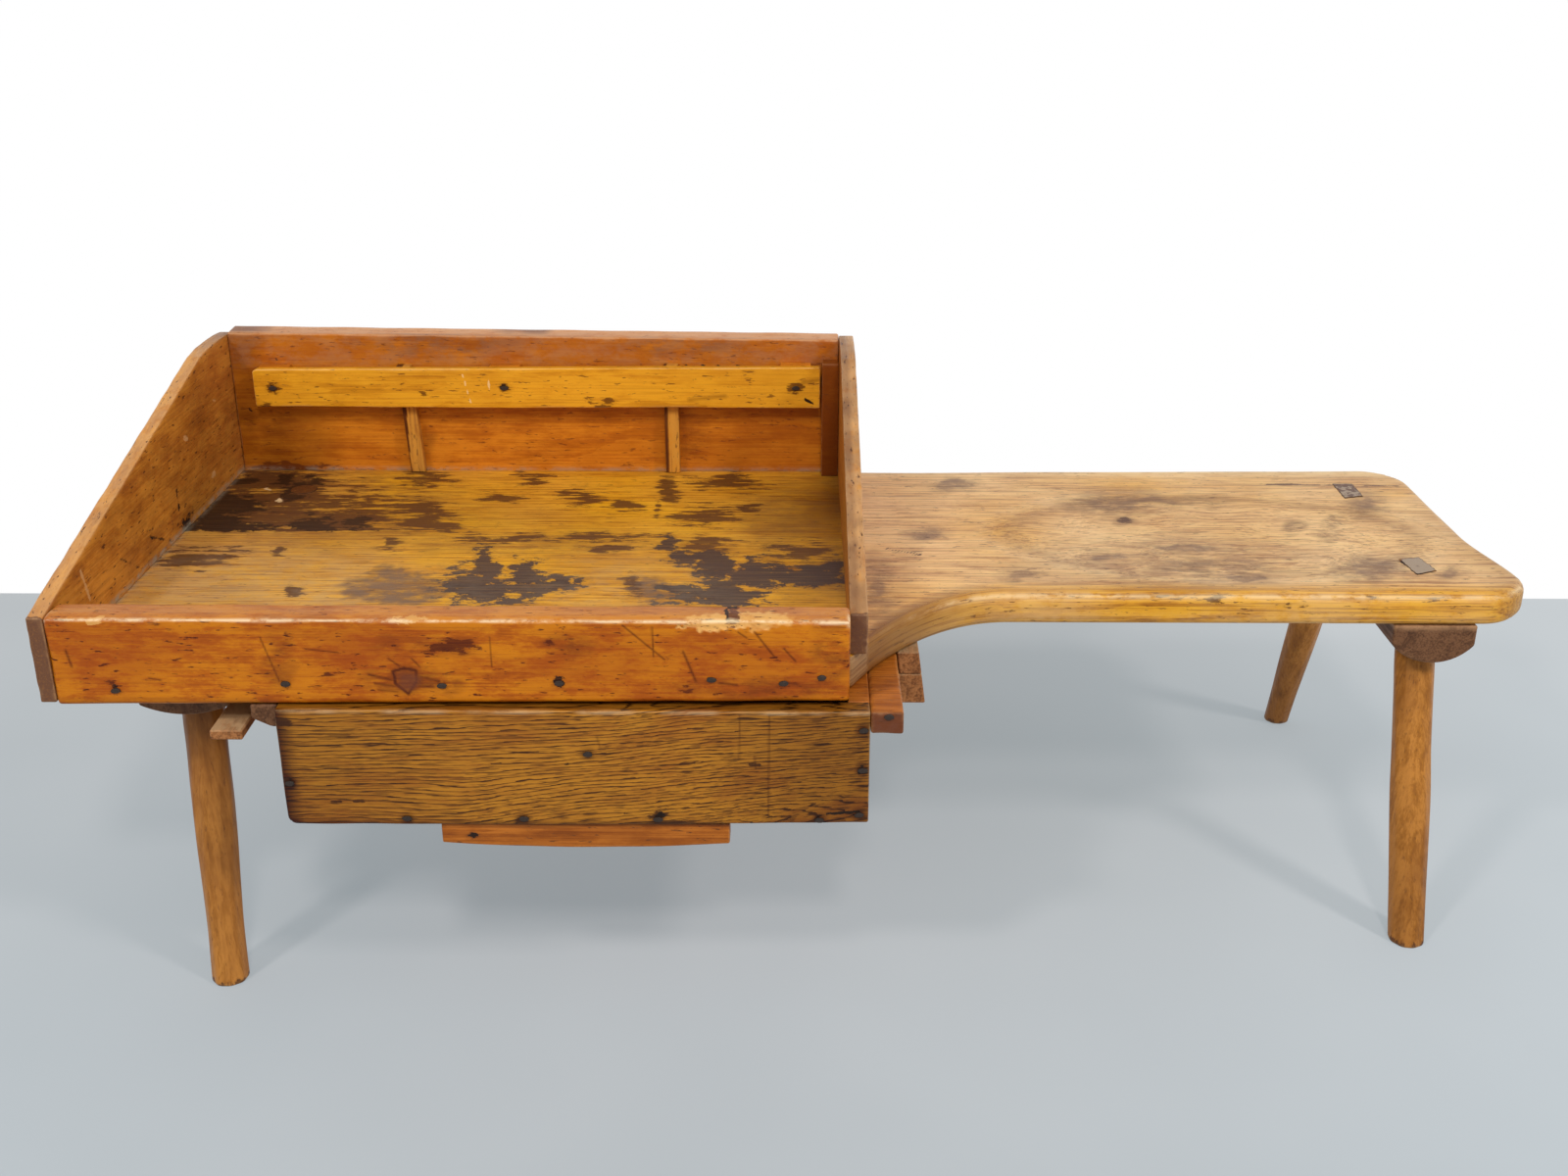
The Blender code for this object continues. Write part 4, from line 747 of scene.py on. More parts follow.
SEAT_CORES = [
    (1116, 507, 1164, 521), (1160, 508, 1200, 514), (958, 490, 986, 500), (932, 541, 962, 551),
    (1384, 508, 1404, 520), (1380, 573, 1432, 590), (1034, 582, 1056, 590), (1470, 580, 1488, 589),
    (886, 590, 902, 612), (1140, 529, 1153, 534), (1250, 586, 1290, 592), (1180, 556, 1240, 562),
    (1110, 566, 1150, 572)]
SEAT_LINES = [(1292, 494, 1427, 496, 1.2), (1026, 584, 1060, 590, 1.2), (905, 560, 940, 566, 1.1),
              (980, 572, 1010, 574, 1.1)]
SEAT_GOLDEN = [(1100, 486, 1260, 510), (900, 600, 1010, 640), (1410, 498, 1450, 508), (980, 520, 1060, 560)]

pixels = seen_at(plank_points)
jagged = pixels + np.column_stack([3 * ripple(plank_points, 16, 43), 1.6 * ripple(plank_points, 13, 44)])
from_front = plank_y - neck_front(plank_x)
flat = ((plank_z > -9) & (from_front > 1.5)) * 1.0
in_tray = (plank_x < SEAT_START) * flat
on_seat = (plank_x >= SEAT_START) * 1.0
band = ramp(from_front, 28, 10) ** 0.7  # the golden band along the seat's front
cloudy = 0.5 + 0.5 * ripple(plank_points, 130, 31)
wavy = 0.02 * ripple(plank_points, 70, 32)
back_dust = ramp(plank_y, TRAY[3] - 5, TRAY[3]) + ramp(plank_x, TRAY[0] + 6, TRAY[0])
# A painted sheen along the seat's back edge: the white wall's reflection, painted in the bare colour.
painted_back_sheen = ramp(plank_y, 452, 482) * (plank_x > SEAT_START + 5)
seat_dark = smear(pixels, SEAT_CORES, 5, 1.9)
seat_long = 0.6 * smear(pixels, [(1088, 552, 1300, 596)], 2.2, 0.3)
seat_soft = np.maximum.reduce([smear(pixels, SEAT_SMUDGES, 2.2, 0.35), seat_dark, seat_long])
dish_rim = np.exp(-((from_dish - 0.98) / 0.07) ** 2) * (0.6 + 0.4 * ripple(plank_points, 60, 45))
dish_ring = np.exp(-((from_dish - 0.86) / 0.06) ** 2)
# The far corner's spill stopped at a scratch along the grain.
above_line = 1 - ramp(pixels[:, 1], 541, 544) * ramp(pixels[:, 1], 558, 555) * (pixels[:, 0] < 392)
tray_film = 1.0 - 0.30 * ramp(pixels[:, 0], 420, 0) - 0.10 * cloudy
seat_gold = 0.16 * cloudy + 0.5 * patches(pixels, SEAT_GOLDEN)
seat_film = np.maximum(band * np.clip((plank_x - 560) / 200, 0.72, 0.95), seat_gold)
seat_marks = np.maximum(0.9 * patches(pixels, SEAT_BROWN), 0.75 * strokes(pixels, SEAT_LINES))
tray_smudge = np.maximum(0.5 * smear(pixels, TRAY_SMUDGES, 2, 0.2), 1.3 * smear(jagged, SPILL_RIMS, 6, 2.4))
tray_shade = (
    0.13 * smear(pixels, [(430, 528, 610, 556), (160, 588, 236, 625), (720, 525, 800, 560)])
    + 0.55 * patches(pixels, [(790, 498, 860, 545)])
    + 0.5 * patches(pixels, [(832, 480, 868, 540), (838, 548, 868, 600)])
    + 0.25 * patches(pixels, [(180, 470, 400, 560)])
    + 0.3 * patches(pixels, [(806, 582, 856, 618)]))
seat_shade = (
    band * np.minimum(0.14 + 0.66 * ramp(plank_x, 755, 650), 0.60)
    + 0.15 * ramp(plank_x, SEAT_START + 60, SEAT_START)
    + 0.10 * cloudy * (1 - band)
    + 0.42 * ramp(plank_x, 1158, 1198) * ramp(plank_y, 500, 100)
    + 0.22 * dish_ring)
underside = plank_z < 1 - THICKNESS
# How pale the arrises are: rubbed by use, and along the seat's front also a painted highlight.
rubbed_and_highlit = np.where(on_seat > 0, 0.55, 0.1) * np.clip((plank_x - 640) / 120, 0.12, 0.85)
plank_stored = {
    "lift": on_seat * (0.14 * bowl + 0.02 + wavy * np.clip(bowl * 3, 0, 1)),
    # The round front's grain follows the neck, so that it shows as lines along it and not as end grain.
    "drift": (from_front < 11) * ramp(neck_front(plank_x), 27, 187),
    "warm": on_seat * band * 0.4 * ramp(plank_x, 740, 650),
    "edge": np.concatenate(edge) ** 3 * rubbed_and_highlit,
    "film": in_tray * tray_film + on_seat * seat_film,
    "bare": on_seat * (0.95 * painted_back_sheen + 0.22 * (1 - cloudy) + 0.30 * dish_rim)
    + 0.10 * in_tray * smear(pixels, [(150, 560, 350, 650)], 2, 0.1),
    "stain": patches(pixels, TRAY_BLACK) * in_tray * above_line,
    "umber": patches(pixels, TRAY_BROWN) * in_tray * above_line + seat_marks * on_seat,
    "grey": patches(pixels, TRAY_GREY) * in_tray,
    "pale": patches(pixels, TRAY_PALE) * 0.85 * in_tray,
    "smudge": on_seat * seat_soft * 0.8 + in_tray * tray_smudge,
    "dust": in_tray * (back_dust * 0.6 + 0.16 * smear(pixels, [(120, 580, 420, 640), (560, 585, 700, 640)])),
    "haze": in_tray * (0.62 * smear(jagged, SPILL_HAZE, 5, 2.0)
                       + 0.12 * smear(pixels, [(175, 575, 350, 640), (590, 560, 690, 590)]))
    + on_seat * 0.55 * seat_dark,
    "shade": in_tray * tray_shade + on_seat * seat_shade + 0.30 * underside
    + 0.7 * (1 - on_seat) * (1 - flat) * (plank_z > 1 - THICKNESS),
}
plank = make_piece("tray_and_seat_plank", plank_points, plank_faces, plank_stored, seat_pine, "bench",
                   "bench_plank")
plank.data.polygons[len(plank_faces) - 1].use_smooth = False  # the underside is one flat face


# %% [markdown]
# ## The tray's walls
# The walls are four boards. The rail in front is thick and low, the sides slope up to the back like a
# desk's, and the back is level with their crests. Each starts as a worn block, and its edges are then
# carried to their real places.

# %% Front rail
points, faces, near, low, high = board("front_rail", (1.2, 2.6, 1.15), 3.2)
x, y, z = points.T
z[:] = carry(z, low[2], high[2], along_board(x, low, high, -31.0, -25.5), high[2])
# The top front arris is worn much rounder than the others: it sinks more the nearer it is to the front.
z -= 2.2 * (ramp(y, 9, 0) * ramp(z, 34, 43)) ** 1.5
pixels = seen_at(points)
jagged = pixels + np.column_stack([3 * ripple(points, 9, 41), 2.2 * ripple(points, 7, 42)])
chip = np.maximum(patches(jagged, [(692, 626, 760, 644), (738, 624, 807, 643)]),
                  strokes(jagged, [(690, 640, 760, 638, 3)]))
hole = patches(jagged, [(740, 619, 752, 636)])
y += 1.4 * np.clip(chip * 6 - 3, 0, 1) + 3 * np.clip(hole * 4 - 2, 0, 1)
rail_nails = [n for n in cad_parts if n.startswith("rail_nail")]
shown = (y < 27.5) * 1.0
SCRATCHES = [
    (635, 638, 678, 673, 1.6), (697, 665, 710, 695, 2.2), (665, 640, 667, 670, 1.5),
    (770, 645, 790, 670, 1.8), (800, 662, 812, 675, 1.6), (265, 650, 285, 695, 1.4),
    (310, 662, 345, 666, 1.2), (753, 645, 762, 651, 1.5), (734, 697, 752, 699, 2.0),
    (803, 697, 814, 698, 1.6), (67, 664, 73, 680, 2.2), (152, 692, 164, 694, 1.6),
    (500, 650, 502, 680, 1.2)]
KNOT = [
    (401, 685, 412, 682, 2.2), (412, 682, 424, 684, 2.2), (424, 684, 425, 695, 2.2),
    (425, 695, 417, 708, 2.2), (417, 708, 404, 698, 2.2), (404, 698, 401, 685, 2.2)]
FLAME = [
    (376, 688, 400, 694, 2.2), (382, 697, 402, 700, 2.0), (428, 690, 448, 695, 2.0),
    (428, 700, 442, 701, 2.0), (396, 672, 408, 680, 1.6), (420, 672, 428, 680, 1.6),
    (386, 704, 406, 706, 1.6)]
HOLE_RIM = [(741, 622, 743, 634, 2), (743, 620, 751, 621, 2)]
RAIL_BROWN = [(430, 657, 470, 667), (454, 652, 484, 657), (744, 628, 751, 634), (102, 694, 116, 702),
              (330, 685, 342, 690), (694, 702, 712, 707), (558, 655, 565, 660)]
RAIL_SMUDGES = [(402, 684, 424, 706), (380, 684, 450, 706), (390, 650, 446, 668), (425, 657, 475, 668),
                (560, 650, 600, 670), (440, 692, 470, 708), (700, 694, 850, 712), (830, 640, 866, 700),
                (272, 650, 296, 698)]
RAIL_WARM = [(60, 640, 160, 700), (560, 650, 660, 700), (330, 640, 400, 690), (690, 660, 850, 710)]
rail_shades = [
    0.45 * ramp(z, z.min() + 9, z.min()), 0.95 * np.clip(2 * strokes(pixels, KNOT), 0, 1),
    0.75 * strokes(pixels, FLAME), 0.8 * strokes(pixels, SCRATCHES),
    0.55 * smear(pixels, [(401, 682, 426, 709)], 3, 1)]
stored = {
    # The front top arris: rubbed pale, and painted with a highlight in the rub colour.
    "edge": near * 0.85 * (y < 14) * ramp(z, 34, 39),
    "bare": np.clip(chip * 8 - 3.6, 0, 1) * shown + 0.26 * ramp(z, 40, 42),
    "haze": 0.12 * smear(pixels, [(403, 684, 424, 706)], 3, 1) * shown,
    "stain": np.maximum(rings_round(points, rail_nails, 7) * 0.65, strokes(pixels, HOLE_RIM)) * shown,
    "umber": np.maximum(patches(pixels, RAIL_BROWN), 1.2 * hole) * shown,
    "smudge": smear(pixels, RAIL_SMUDGES, 2, 0.4) * 0.8 * shown,
    "pale": patches(pixels, [(86, 629, 106, 638), (405, 629, 440, 637)]) * shown,
    "warm": smear(pixels, RAIL_WARM, 2, 0.3) * 0.45 * shown,
    "shade": np.maximum.reduce(rail_shades) * shown,
}
make_piece("tray_front_rail", points, faces, stored, shellac_pine, "bench", "front_rail")


# %% Side boards
SIDE_BACK = 500.2
CREST_SHARES = (0, 0.79, 0.84, 0.88, 0.94)  # places along the board's top, in shares of its length
CREST_HEIGHTS = (138.5, 140.6, 141.2, 140.4, 138.5, 135.9, 129.5)  # from the slope's end to the heel


def side_top(y, start, rise, crest_loss):
    """The height of a side board's top: a straight slope, a short level crest and a rounded heel."""
    run = SIDE_BACK - start
    crest_places = [start + share * run for share in CREST_SHARES]
    places = [*crest_places, SIDE_BACK - 9.0, SIDE_BACK - 2.7, SIDE_BACK]
    heights = np.array([rise, *CREST_HEIGHTS])
    heights[1:] -= crest_loss
    return np.interp(y, places, heights)


for name, node, rise, loss, seed in (("tray_left_board", "left_side_board", 41.5, 0, 5),
                                     ("tray_right_board", "right_side_board", 34, 2.5, 6)):
    points, faces, near, low, high = board(node, (3, 2.3, 2.3), 1.6, 0.5, seed, 40)
    x, y, z = points.T
    crest = side_top(y, low[1], rise, loss)
    z[:] = carry(z, low[2], high[2], low[2], crest)
    pixels = seen_at(points)
    top = ramp(z - crest, -2.5, -0.5)
    # The front end was sawn across the grain and has gone dark grey-brown.
    stored = {"edge": near * 0.4, "grey": 0.95 * ramp(y, low[1] + 3, low[1] + 1)}
    if node == "left_side_board":
        inner = (x > low[0] + 6) * 1.0
        blacks = np.maximum(patches(pixels, [(190, 526, 200, 541), (124, 569, 129, 573)]),
                            strokes(pixels, [(154, 548, 174, 552, 2), (180, 500, 183, 520, 1.4)]))
        smudges = [(182, 500, 218, 548), (140, 460, 200, 510), (195, 400, 240, 480), (100, 510, 160, 570)]
        chips = [(185, 444, 190, 450), (218, 482, 222, 489), (220, 407, 224, 411)]
        pales = np.maximum(patches(pixels, chips), strokes(pixels, [(82, 582, 92, 612, 2)]))
        stored |= {
            "bare": top * 0.5,
            "stain": blacks * inner,
            "smudge": smear(pixels, smudges, 2, 0.3) * 0.4 * inner,
            "pale": pales * inner,
            "warm": ramp(y, 250, 470) * 0.6 * inner,
            "shade": top * 0.6 * ramp(y, 400, 480) + inner * (1 - top) * 0.24 * ramp(y, 430, 370),
            "dust": ramp(np.abs(z - 1), 4, 0) * inner * (y > 27),
        }
    else:
        inner = (x < low[0] + 6) * 1.0
        stored |= {
            "bare": top * 0.8,
            "warm": inner * 0.5,
            "smudge": top * (0.2 + 0.2 * ripple(points, 30, 51)),
            "shade": inner * 0.3 + top * (0.16 + 0.16 * ripple(points, 50, 52)),
        }
    make_piece(name, points, faces, stored, side_pine, "bench", node)

# %% Back board
points, faces, near, low, high = board("back_board", (2.1, 3, 2.1), 2.0, 0.4, 7)
x, y, z = points.T
back_top = along_board(x, low, high, 143.0, 136.5)
z[:] = carry(z, low[2], high[2], low[2], back_top)
# The board is a little twisted: its front arris is lower than its back one.
z -= 1.8 * ramp(z, 120, 140) * (1 - (y - low[1]) / (high[1] - low[1]))
pixels = seen_at(points)
facing = (y < low[1] + 6) * 1.0
pricks = [(x_at, 373, x_at + 2, 373, 2) for x_at in (654, 681, 699, 717, 732, 752)]
holes = [(281, 366, 283, 367, 2.4), (254, 416, 256, 419, 2.4), (517, 366, 519, 368, 2.2)]
BACK_SMUDGES = [(238, 415, 300, 440), (380, 340, 520, 362), (640, 345, 760, 362), (690, 425, 720, 470),
                (425, 440, 445, 475)]
stored = {
    "edge": near * 0.5,
    "bare": ramp(z - back_top, -3, -1) * 0.75,
    "warm": facing * (0.55 * ramp(z, 95, 115) + 0.4 * ramp(x, 480, 580)),
    "stain": facing * strokes(pixels, holes + pricks),
    "umber": facing * patches(pixels, [(250, 473, 340, 480)]),
    "smudge": facing * smear(pixels, BACK_SMUDGES, 2, 0.4) * 0.6,
    "shade": facing * 0.4 * smear(pixels, [(228, 335, 262, 490), (262, 430, 330, 486)], 2, 0.2)
    + (1 - facing) * 0.7 * smear(pixels, [(226, 322, 262, 344), (520, 326, 560, 338)]),
    "dust": facing * (0.5 * ramp(z, 4, 0) * (z > -3) + 0.16 * ramp(z, 100, 115)),
}
make_piece("tray_back_board", points, faces, stored, red_pine, "bench", "back_board")

# %% [markdown]
# ## The tool rack
# A thin strip stands off the back board on three spacers, and awls and knives drop into the slot behind it.
# It is the brightest board of the bench, golden under its shellac, with a few hard marks.

# %% Tool rack
points, faces, near, low, high = board("rack_strip", (1.8, 2.5, 1.8), 1.3, 0.4, 8)
x, y, z = points.T
wavy_edge = low[2] + 0.4 * np.sin(x / 60)
z[:] = carry(z, low[2], high[2], wavy_edge, along_board(x, low, high, 109.5, 112.5), 3)
z -= 2.5 * (ramp(x, low[0] + 6, low[0]) * ramp(z, 100, 109)) ** 2  # the top left corner is rounded
pixels = seen_at(points)
rack_nails = ["rack_nail_left", "rack_nail_middle", "rack_nail_right"]
RACK_BROWN = [(600, 409, 624, 417), (266, 409, 275, 415), (427, 399, 433, 403)]
stored = {
    "edge": near * 0.5,
    "stain": np.maximum(rings_round(points, rack_nails, 6) * 0.9, strokes(pixels, [(822, 408, 830, 412, 2)])),
    "umber": np.maximum(rings_round(points, rack_nails, 10) * 0.8, patches(pixels, RACK_BROWN)),
    "shade": 0.5 * strokes(pixels, [(703, 408, 740, 404, 3), (820, 390, 835, 388, 3)]),
    "pale": strokes(pixels, [(472, 382, 480, 410, 1.5), (497, 382, 500, 398, 1.5)]) * 0.8,
}
make_piece("rack_front_strip", points, faces, stored, gold_pine, "bench", "rack_strip")

LEANING_WIDTH, LEAN = 14.0, 6.0
for name, node in (("rack_left_divider", "rack_divider_left"), ("rack_right_divider", "rack_divider_right")):
    points, faces, near, low, high = board(node, (1.5, 2, 3), 0.7, 0.3, 9)
    x, y, z = points.T
    if node == "rack_divider_left":
        middle = (low[0] + high[0]) / 2
        rise = (z - low[2]) / (high[2] - low[2])
        x[:] = middle - 3.5 + (x - middle) * (LEANING_WIDTH / (high[0] - low[0])) + LEAN * (0.5 - rise)
    # Painted light and shade: the left side face is darkened as if in shade, and the other faces are paler as
    # if lit.
    stored = {"edge": near * 0.3, "shade": (x < low[0] + 3) * 0.9, "bare": (x > low[0] + 3) * 0.35}
    make_piece(name, points, faces, stored, end_pine, "bench", node)


# %% [markdown]
# ## The legs
# Each leg was shaved round with a drawknife, which leaves long flats, and its top is a tenon that shows in
# the plank. A leg is a stack of level rings: the ring's middle moves along the leaning axis, so the foot
# stands flat on the floor and the tenon ends level with the seat.

# %% Legs
def on_seat_at(corners):
    """Where the camera's lines through some pixels meet the seat's top."""
    corners = np.asarray(corners, float)
    across, down = corners[:, :1] - PICTURE[0] / 2, corners[:, 1:] - PICTURE[1] / 2
    ways = FOCAL * FORWARD + across * RIGHT - down * UPWARD
    return EYE - ways * EYE[2] / ways[:, 2:]


def evenly_round(corners, count):
    """Points evenly round a four-sided outline."""
    loop = np.concatenate([corners, corners[:1]])
    length = np.concatenate([[0], np.cumsum(np.linalg.norm(np.diff(loop, axis=0), axis=1))])
    places = np.linspace(0, length[-1], count, endpoint=False)
    return np.stack([np.interp(places, length, loop[:, axis]) for axis in range(2)], -1)


TENON_ENDS = {  # starting at the corner nearest the seat's right end, and going the way the rings do
    "leg_back_right": [(1391, 507), (1380, 494), (1359, 494), (1372, 509)],
    "leg_front_right": [(1466, 583), (1448, 569), (1427, 571), (1446, 587)],
}
GREYED = {"leg_front_right": 0.8, "leg_back_right": 0.5}
LOW_SHADE = {"leg_front_right": 0.25, "leg_back_right": 0.4}
HEIGHT = -FLOOR_LEVEL
TENON_RADIUS, TENON_LENGTH = 13.0, 30
TENON_LEVELS = [-4, -2, 0.05, 0.30, 0.32, 0.33]  # its last rings, measured from the seat's top
TENON_RADII = [13.1, 13.0, 13.0, 12.6, 11.9, 6.0]
FOOT_ROUND = [1.6, 0.5]  # what the foot's first two rings are drawn in by
BACK_RADII = (12.7, 13.4, 15.0, 16.2, 16.6, 16.5, 17.0)
SHARES = (0.0, 0.14, 0.28, 0.40, 0.52, 0.66, 0.755)  # where the radii are measured, in shares of the height
for node, radii in {
    "leg_front_left": (15.3, 14.6, 15.4, 16.4, 17.0, 16.2, 17.0),
    "leg_front_right": (15.0, 15.5, 16.6, 17.2, 16.4, 16.4, 17.0),
    "leg_back_left": BACK_RADII,
    "leg_back_right": BACK_RADII,
}.items():
    solid = to_bench([v.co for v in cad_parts[node].data.vertices])
    foot = solid[solid[:, 2] < FLOOR_LEVEL + 0.5].mean(0)
    ends = solid[solid[:, 2] > -1.2]
    tenon = (ends.min(0) + ends.max(0)) / 2
    top_levels = HEIGHT + np.array(TENON_LEVELS)
    level = np.concatenate([[0, 0.6, 2.0], np.linspace(4, HEIGHT - 6, 110), top_levels])
    rise = level / HEIGHT
    radius = np.interp(rise, [*SHARES, 1.0], [*radii, TENON_RADIUS])
    radius = np.convolve(np.pad(radius, 4, "edge"), np.ones(9) / 9, "valid")
    radius[:2] -= FOOT_ROUND
    radius[-6:] = TENON_RADII
    around = np.linspace(0, 2 * np.pi, 73)[:-1]
    middle = foot + (tenon - foot) * rise[:, None]
    # The drawknife's flats: nine narrow ones that wander as they climb, and five broad ones that twist.
    seed = sum(map(ord, node)) % 50
    narrow = np.cos(9 * around + 2.5 * np.sin(6 * rise[:, None] + seed) + seed)
    flats = 1 - 0.014 * narrow - 0.012 * np.cos(5 * around + 7 * rise[:, None])
    flats = np.where(level[:, None] > HEIGHT - TENON_LENGTH, 1.0, flats)
    rings_x = middle[:, 0, None] + radius[:, None] * flats * np.cos(around)
    rings_y = middle[:, 1, None] + radius[:, None] * flats * np.sin(around)
    if node in TENON_ENDS:
        outline = evenly_round(on_seat_at(TENON_ENDS[node])[:, :2], len(around))
        outline += 0.5 * ripple(np.column_stack([outline, np.zeros(len(outline))]), 9, seed)[:, None]
        for ring, size in zip(range(-4, 0), (1.0, 0.985, 0.88, 0.86)):
            rings_x[ring], rings_y[ring] = (outline.mean(0) + size * (outline - outline.mean(0))).T
        level[-3:] += 0.35
    rings_z = np.broadcast_to((FLOOR_LEVEL + level)[:, None], rings_x.shape)
    points = np.stack([rings_x, rings_y, rings_z], -1).reshape(-1, 3)
    number = np.arange(len(points)).reshape(rings_x.shape)
    beside = np.roll(number, -1, axis=1)
    faces = np.stack([number[:-1], beside[:-1], beside[1:], number[1:]], -1).reshape(-1, 4).tolist()
    faces += [number[0, ::-1].tolist(), number[-1].tolist()]
    ring_level = np.repeat(level, len(around))
    at_end = ring_level >= level[-2]
    upper_shade = ramp(ring_level, 190, 250) * (0.25 if node == "leg_front_right" else 0.5)
    stored = {
        "edge": ramp(ring_level, 3, 0) * 0.4,
        "shade": upper_shade + LOW_SHADE.get(node, 0) * ramp(ring_level, 150, 50),
        "warm": ramp(ring_level, 0, 200) * (0.5 if "left" in node else 0),
        "stain": ((ring_level > HEIGHT) & ~at_end) * 0.8,
        "grey": at_end * GREYED.get(node, 0),
        "umber": np.maximum(at_end * 0.9, 0.56 * ramp(ring_level, 6, 3)),
    }
    name = node.replace("leg_", "") + "_leg"
    make_piece(name, points, faces, stored, honey_ash, "bench", node)

# %% [markdown]
# ## The battens
# A half-round batten runs under the plank at each pair of legs. Its belly is the arc of a circle: the
# block's lower edge is carried down to it, more in the middle than at the sides.

# %% Battens
for name, node, side in (("left_leg_batten", "left_batten", 24.0),
                         ("right_leg_batten", "right_batten", 18.0)):
    points, faces, near, low, high = board(node, (2.5, 3.5, 2.5), 1.4, 0.5, 11)
    x, y, z = points.T
    z[:] = carry(z, low[2], high[2], belly(x, low, high, high[2] - low[2] - side), high[2], 4)
    stored = {"edge": near * 0.3, "bare": ramp(z, high[2] - 5, high[2] - 2) * 0.7}
    make_piece(name, points, faces, stored, dark_oak, "bench", node)


# %% [markdown]
# ## The drawer
# The drawer's front is oiled chestnut, close under the tray's rail. Its lower left corner is rounded off,
# and under it is a long pull with a bellied lower edge.

# %% Drawer front and pull
points, faces, near, low, high = board("drawer_front", (1.2, 3, 1.2), 1.4, 0.4, 12)
x, y, z = points.T
lower_edge = np.interp(x, [low[0], 420, high[0]], [low[2] - 1.0, low[2] - 0.6, low[2] + 2.6])
z[:] = carry(z, low[2], high[2], lower_edge, high[2])
CORNER_ROUND = 7  # the lower left corner
leftward = np.clip((low[0] + CORNER_ROUND - x) / CORNER_ROUND, 0, None)
downward = np.clip((low[2] + 6 - z) / CORNER_ROUND, 0, None)
size = to_circle(leftward, downward)
inside = (leftward > 0) & (downward > 0)
x[:] = np.where(inside, low[0] + CORNER_ROUND * (1 - leftward * size), x)
z[:] = np.where(inside, low[2] + 6 - CORNER_ROUND * downward * size, z)
pixels = seen_at(points)
facing = (y < low[1] + 4) * 1.0
low_down = ramp(z, high[2], low[2])
drawer_nails = [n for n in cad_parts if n.startswith("drawer_") and "nail" in n and "cleat" not in n]
FRONT_BLACK = [(411, 834, 423, 840), (597, 766, 602, 771), (577, 778, 583, 781), (664, 831, 679, 837),
               (873, 783, 879, 790)]
FRONT_BROWN = [(282, 736, 296, 744), (290, 792, 301, 798), (528, 835, 542, 841), (652, 827, 692, 842)]
BROWN_LINES = [(338, 818, 348, 818, 2), (361, 818, 371, 818, 2), (765, 780, 775, 780, 2)]
SCRIBED = [(785, 728, 784, 832, 1.8), (755, 730, 754, 775, 1.6), (609, 752, 612, 762, 1.8),
           (770, 772, 771, 784, 1.8)]
blacks = [rings_round(points, drawer_nails, 6) * 0.8, strokes(pixels, [(843, 831, 876, 828, 2.2)]),
          patches(pixels, FRONT_BLACK)]
front_shade = (
    0.7 * rings_round(points, drawer_nails, 8) + 0.45 * strokes(pixels, SCRIBED)
    + 0.8 * ramp(x, low[0] + 14, low[0]) + 0.6 * ramp(z, low[2] + 5, low[2])
    + 0.45 * ramp(x, 500, 600) + 0.25 * ramp(x, 320, 200))
slant = ramp(x, low[0], high[0])
# A pale broken line along the top arris: dust, and a painted highlight.
dust_and_highlight_line = ramp(np.abs(high[2] - 1.4 - z), 2.2, 0) * np.clip(0.7 + 0.9 * ripple(points, 40, 61), 0, 1)
stored = {
    "lift": 0.04 + 0.36 * np.clip(slant - 0.30, 0, 1) ** 1.15 * (0.55 + 0.45 * low_down)
    + 0.012 * ripple(points, 120, 33),
    "edge": near * 0.3 * (z > low[2] + 20),
    "stain": facing * np.maximum.reduce(blacks),
    "umber": facing * np.maximum(patches(pixels, FRONT_BROWN), strokes(pixels, BROWN_LINES)),
    "haze": facing * 0.55 * dust_and_highlight_line,
    "shade": 0.5 * (1 - facing) * (z > high[2] - 2) + facing * front_shade,
}
make_piece("drawer_chestnut_front", points, faces, stored, chestnut, "drawer", "drawer_front")

points, faces, near, low, high = board("drawer_pull", (2.5, 2.5, 2), 1.3, 0.4, 13)
x, y, z = points.T
z[:] = carry(z, low[2], high[2], belly(x, low, high, 4.0), high[2], 4)
mark = patches(seen_at(points), [(477, 849, 488, 857)])
stored = {"edge": near * 0.4, "stain": mark, "shade": ramp(z, high[2] - 4, high[2]) * 0.8}
make_piece("drawer_front_pull", points, faces, stored, drawer_pine, "drawer", "drawer_pull")

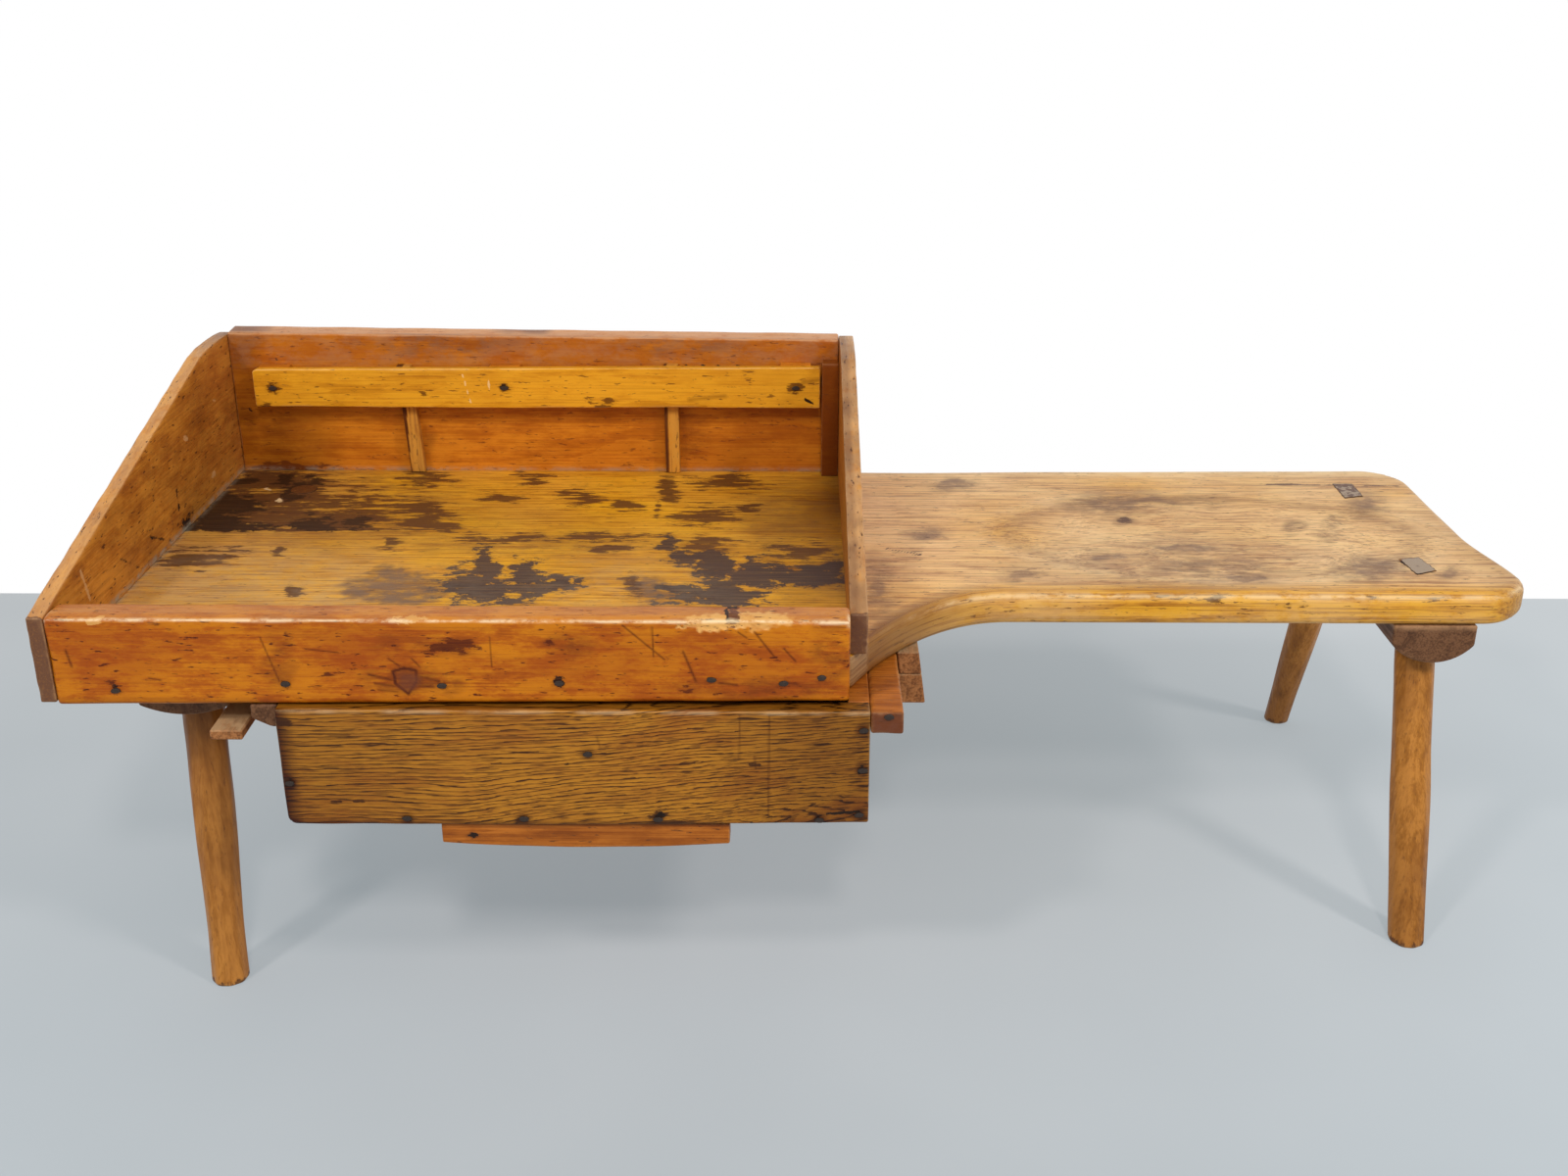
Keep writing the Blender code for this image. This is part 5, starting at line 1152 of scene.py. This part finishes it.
# %% [markdown]
# ## Cleats, runners and the rest
# A cleat on each side carries the drawer on a runner that hangs from the plank. These are rough, dusty and
# broken at the ends. The solids that already have the right shape keep it and only get their wood.

# %% Cleat, corner post and nails
points, faces, near, low, high = board("drawer_cleat_right", (1.6, 4, 1.4), 2.6, 0.4, 14, 30)
end = ramp(points[:, 1], low[1] + 2.5, low[1] + 0.5)
stored = {"edge": near * 0.25, "shade": end * 0.55, "warm": end, "haze": end * 0.15}
make_piece("drawer_right_cleat", points, faces, stored, drawer_pine, "drawer", "drawer_cleat_right")

points, faces, near, low, high = board("rack_corner_block", (2, 2, 3), 0.8, 0.4, 15)
rise = (points[:, 2] - low[2]) / (high[2] - low[2])
stored = {"edge": near * 0.3, "warm": np.ones(len(points)), "shade": 0.75 - 0.25 * rise}
make_piece("rack_corner_post", points, faces, stored, red_pine, "bench", "rack_corner_block")

NAIL_WIDE, NAIL_TALL = 1.25, 0.72  # a head's width and height over its hole's
for node in [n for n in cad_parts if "nail" in n]:
    points, faces, near, low, high = board(node, (0.8, 2, 0.8), 0.5, 0.4, len(node))
    x, y, z = points.T
    middle, half = (low + high) / 2, (high - low) / 2
    across, upward = (x - middle[0]) / half[0], (z - middle[2]) / half[2]
    seed = sum(map(ord, node)) % 50
    size = to_circle(across, upward) * (1 + 0.12 * ripple(points, 6, seed))
    x[:] = middle[0] + across * size * half[0] * NAIL_WIDE
    z[:] = middle[2] + upward * size * half[2] * NAIL_TALL
    metal, body = (dusty_iron, "drawer") if node.startswith("drawer") else (rusted_iron, "bench")
    make_piece("worn_" + node, points, faces, {}, metal, body, node)

# %% Woods for the solids that stay
WOODS = {"drawer_hanger": dusty_oak, "drawer_runner": dusty_oak, "rack_spacer": red_pine,
         "leg_wedge": end_pine, "drawer_cleat": dark_oak}
kept = {node: solid for node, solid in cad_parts.items() if not solid.hide_render}
for node, solid in kept.items():
    woods = [material for start, material in WOODS.items() if node.startswith(start)]
    solid.material_slots[0].material = woods[0] if woods else drawer_pine
print("solids kept:", len(kept))
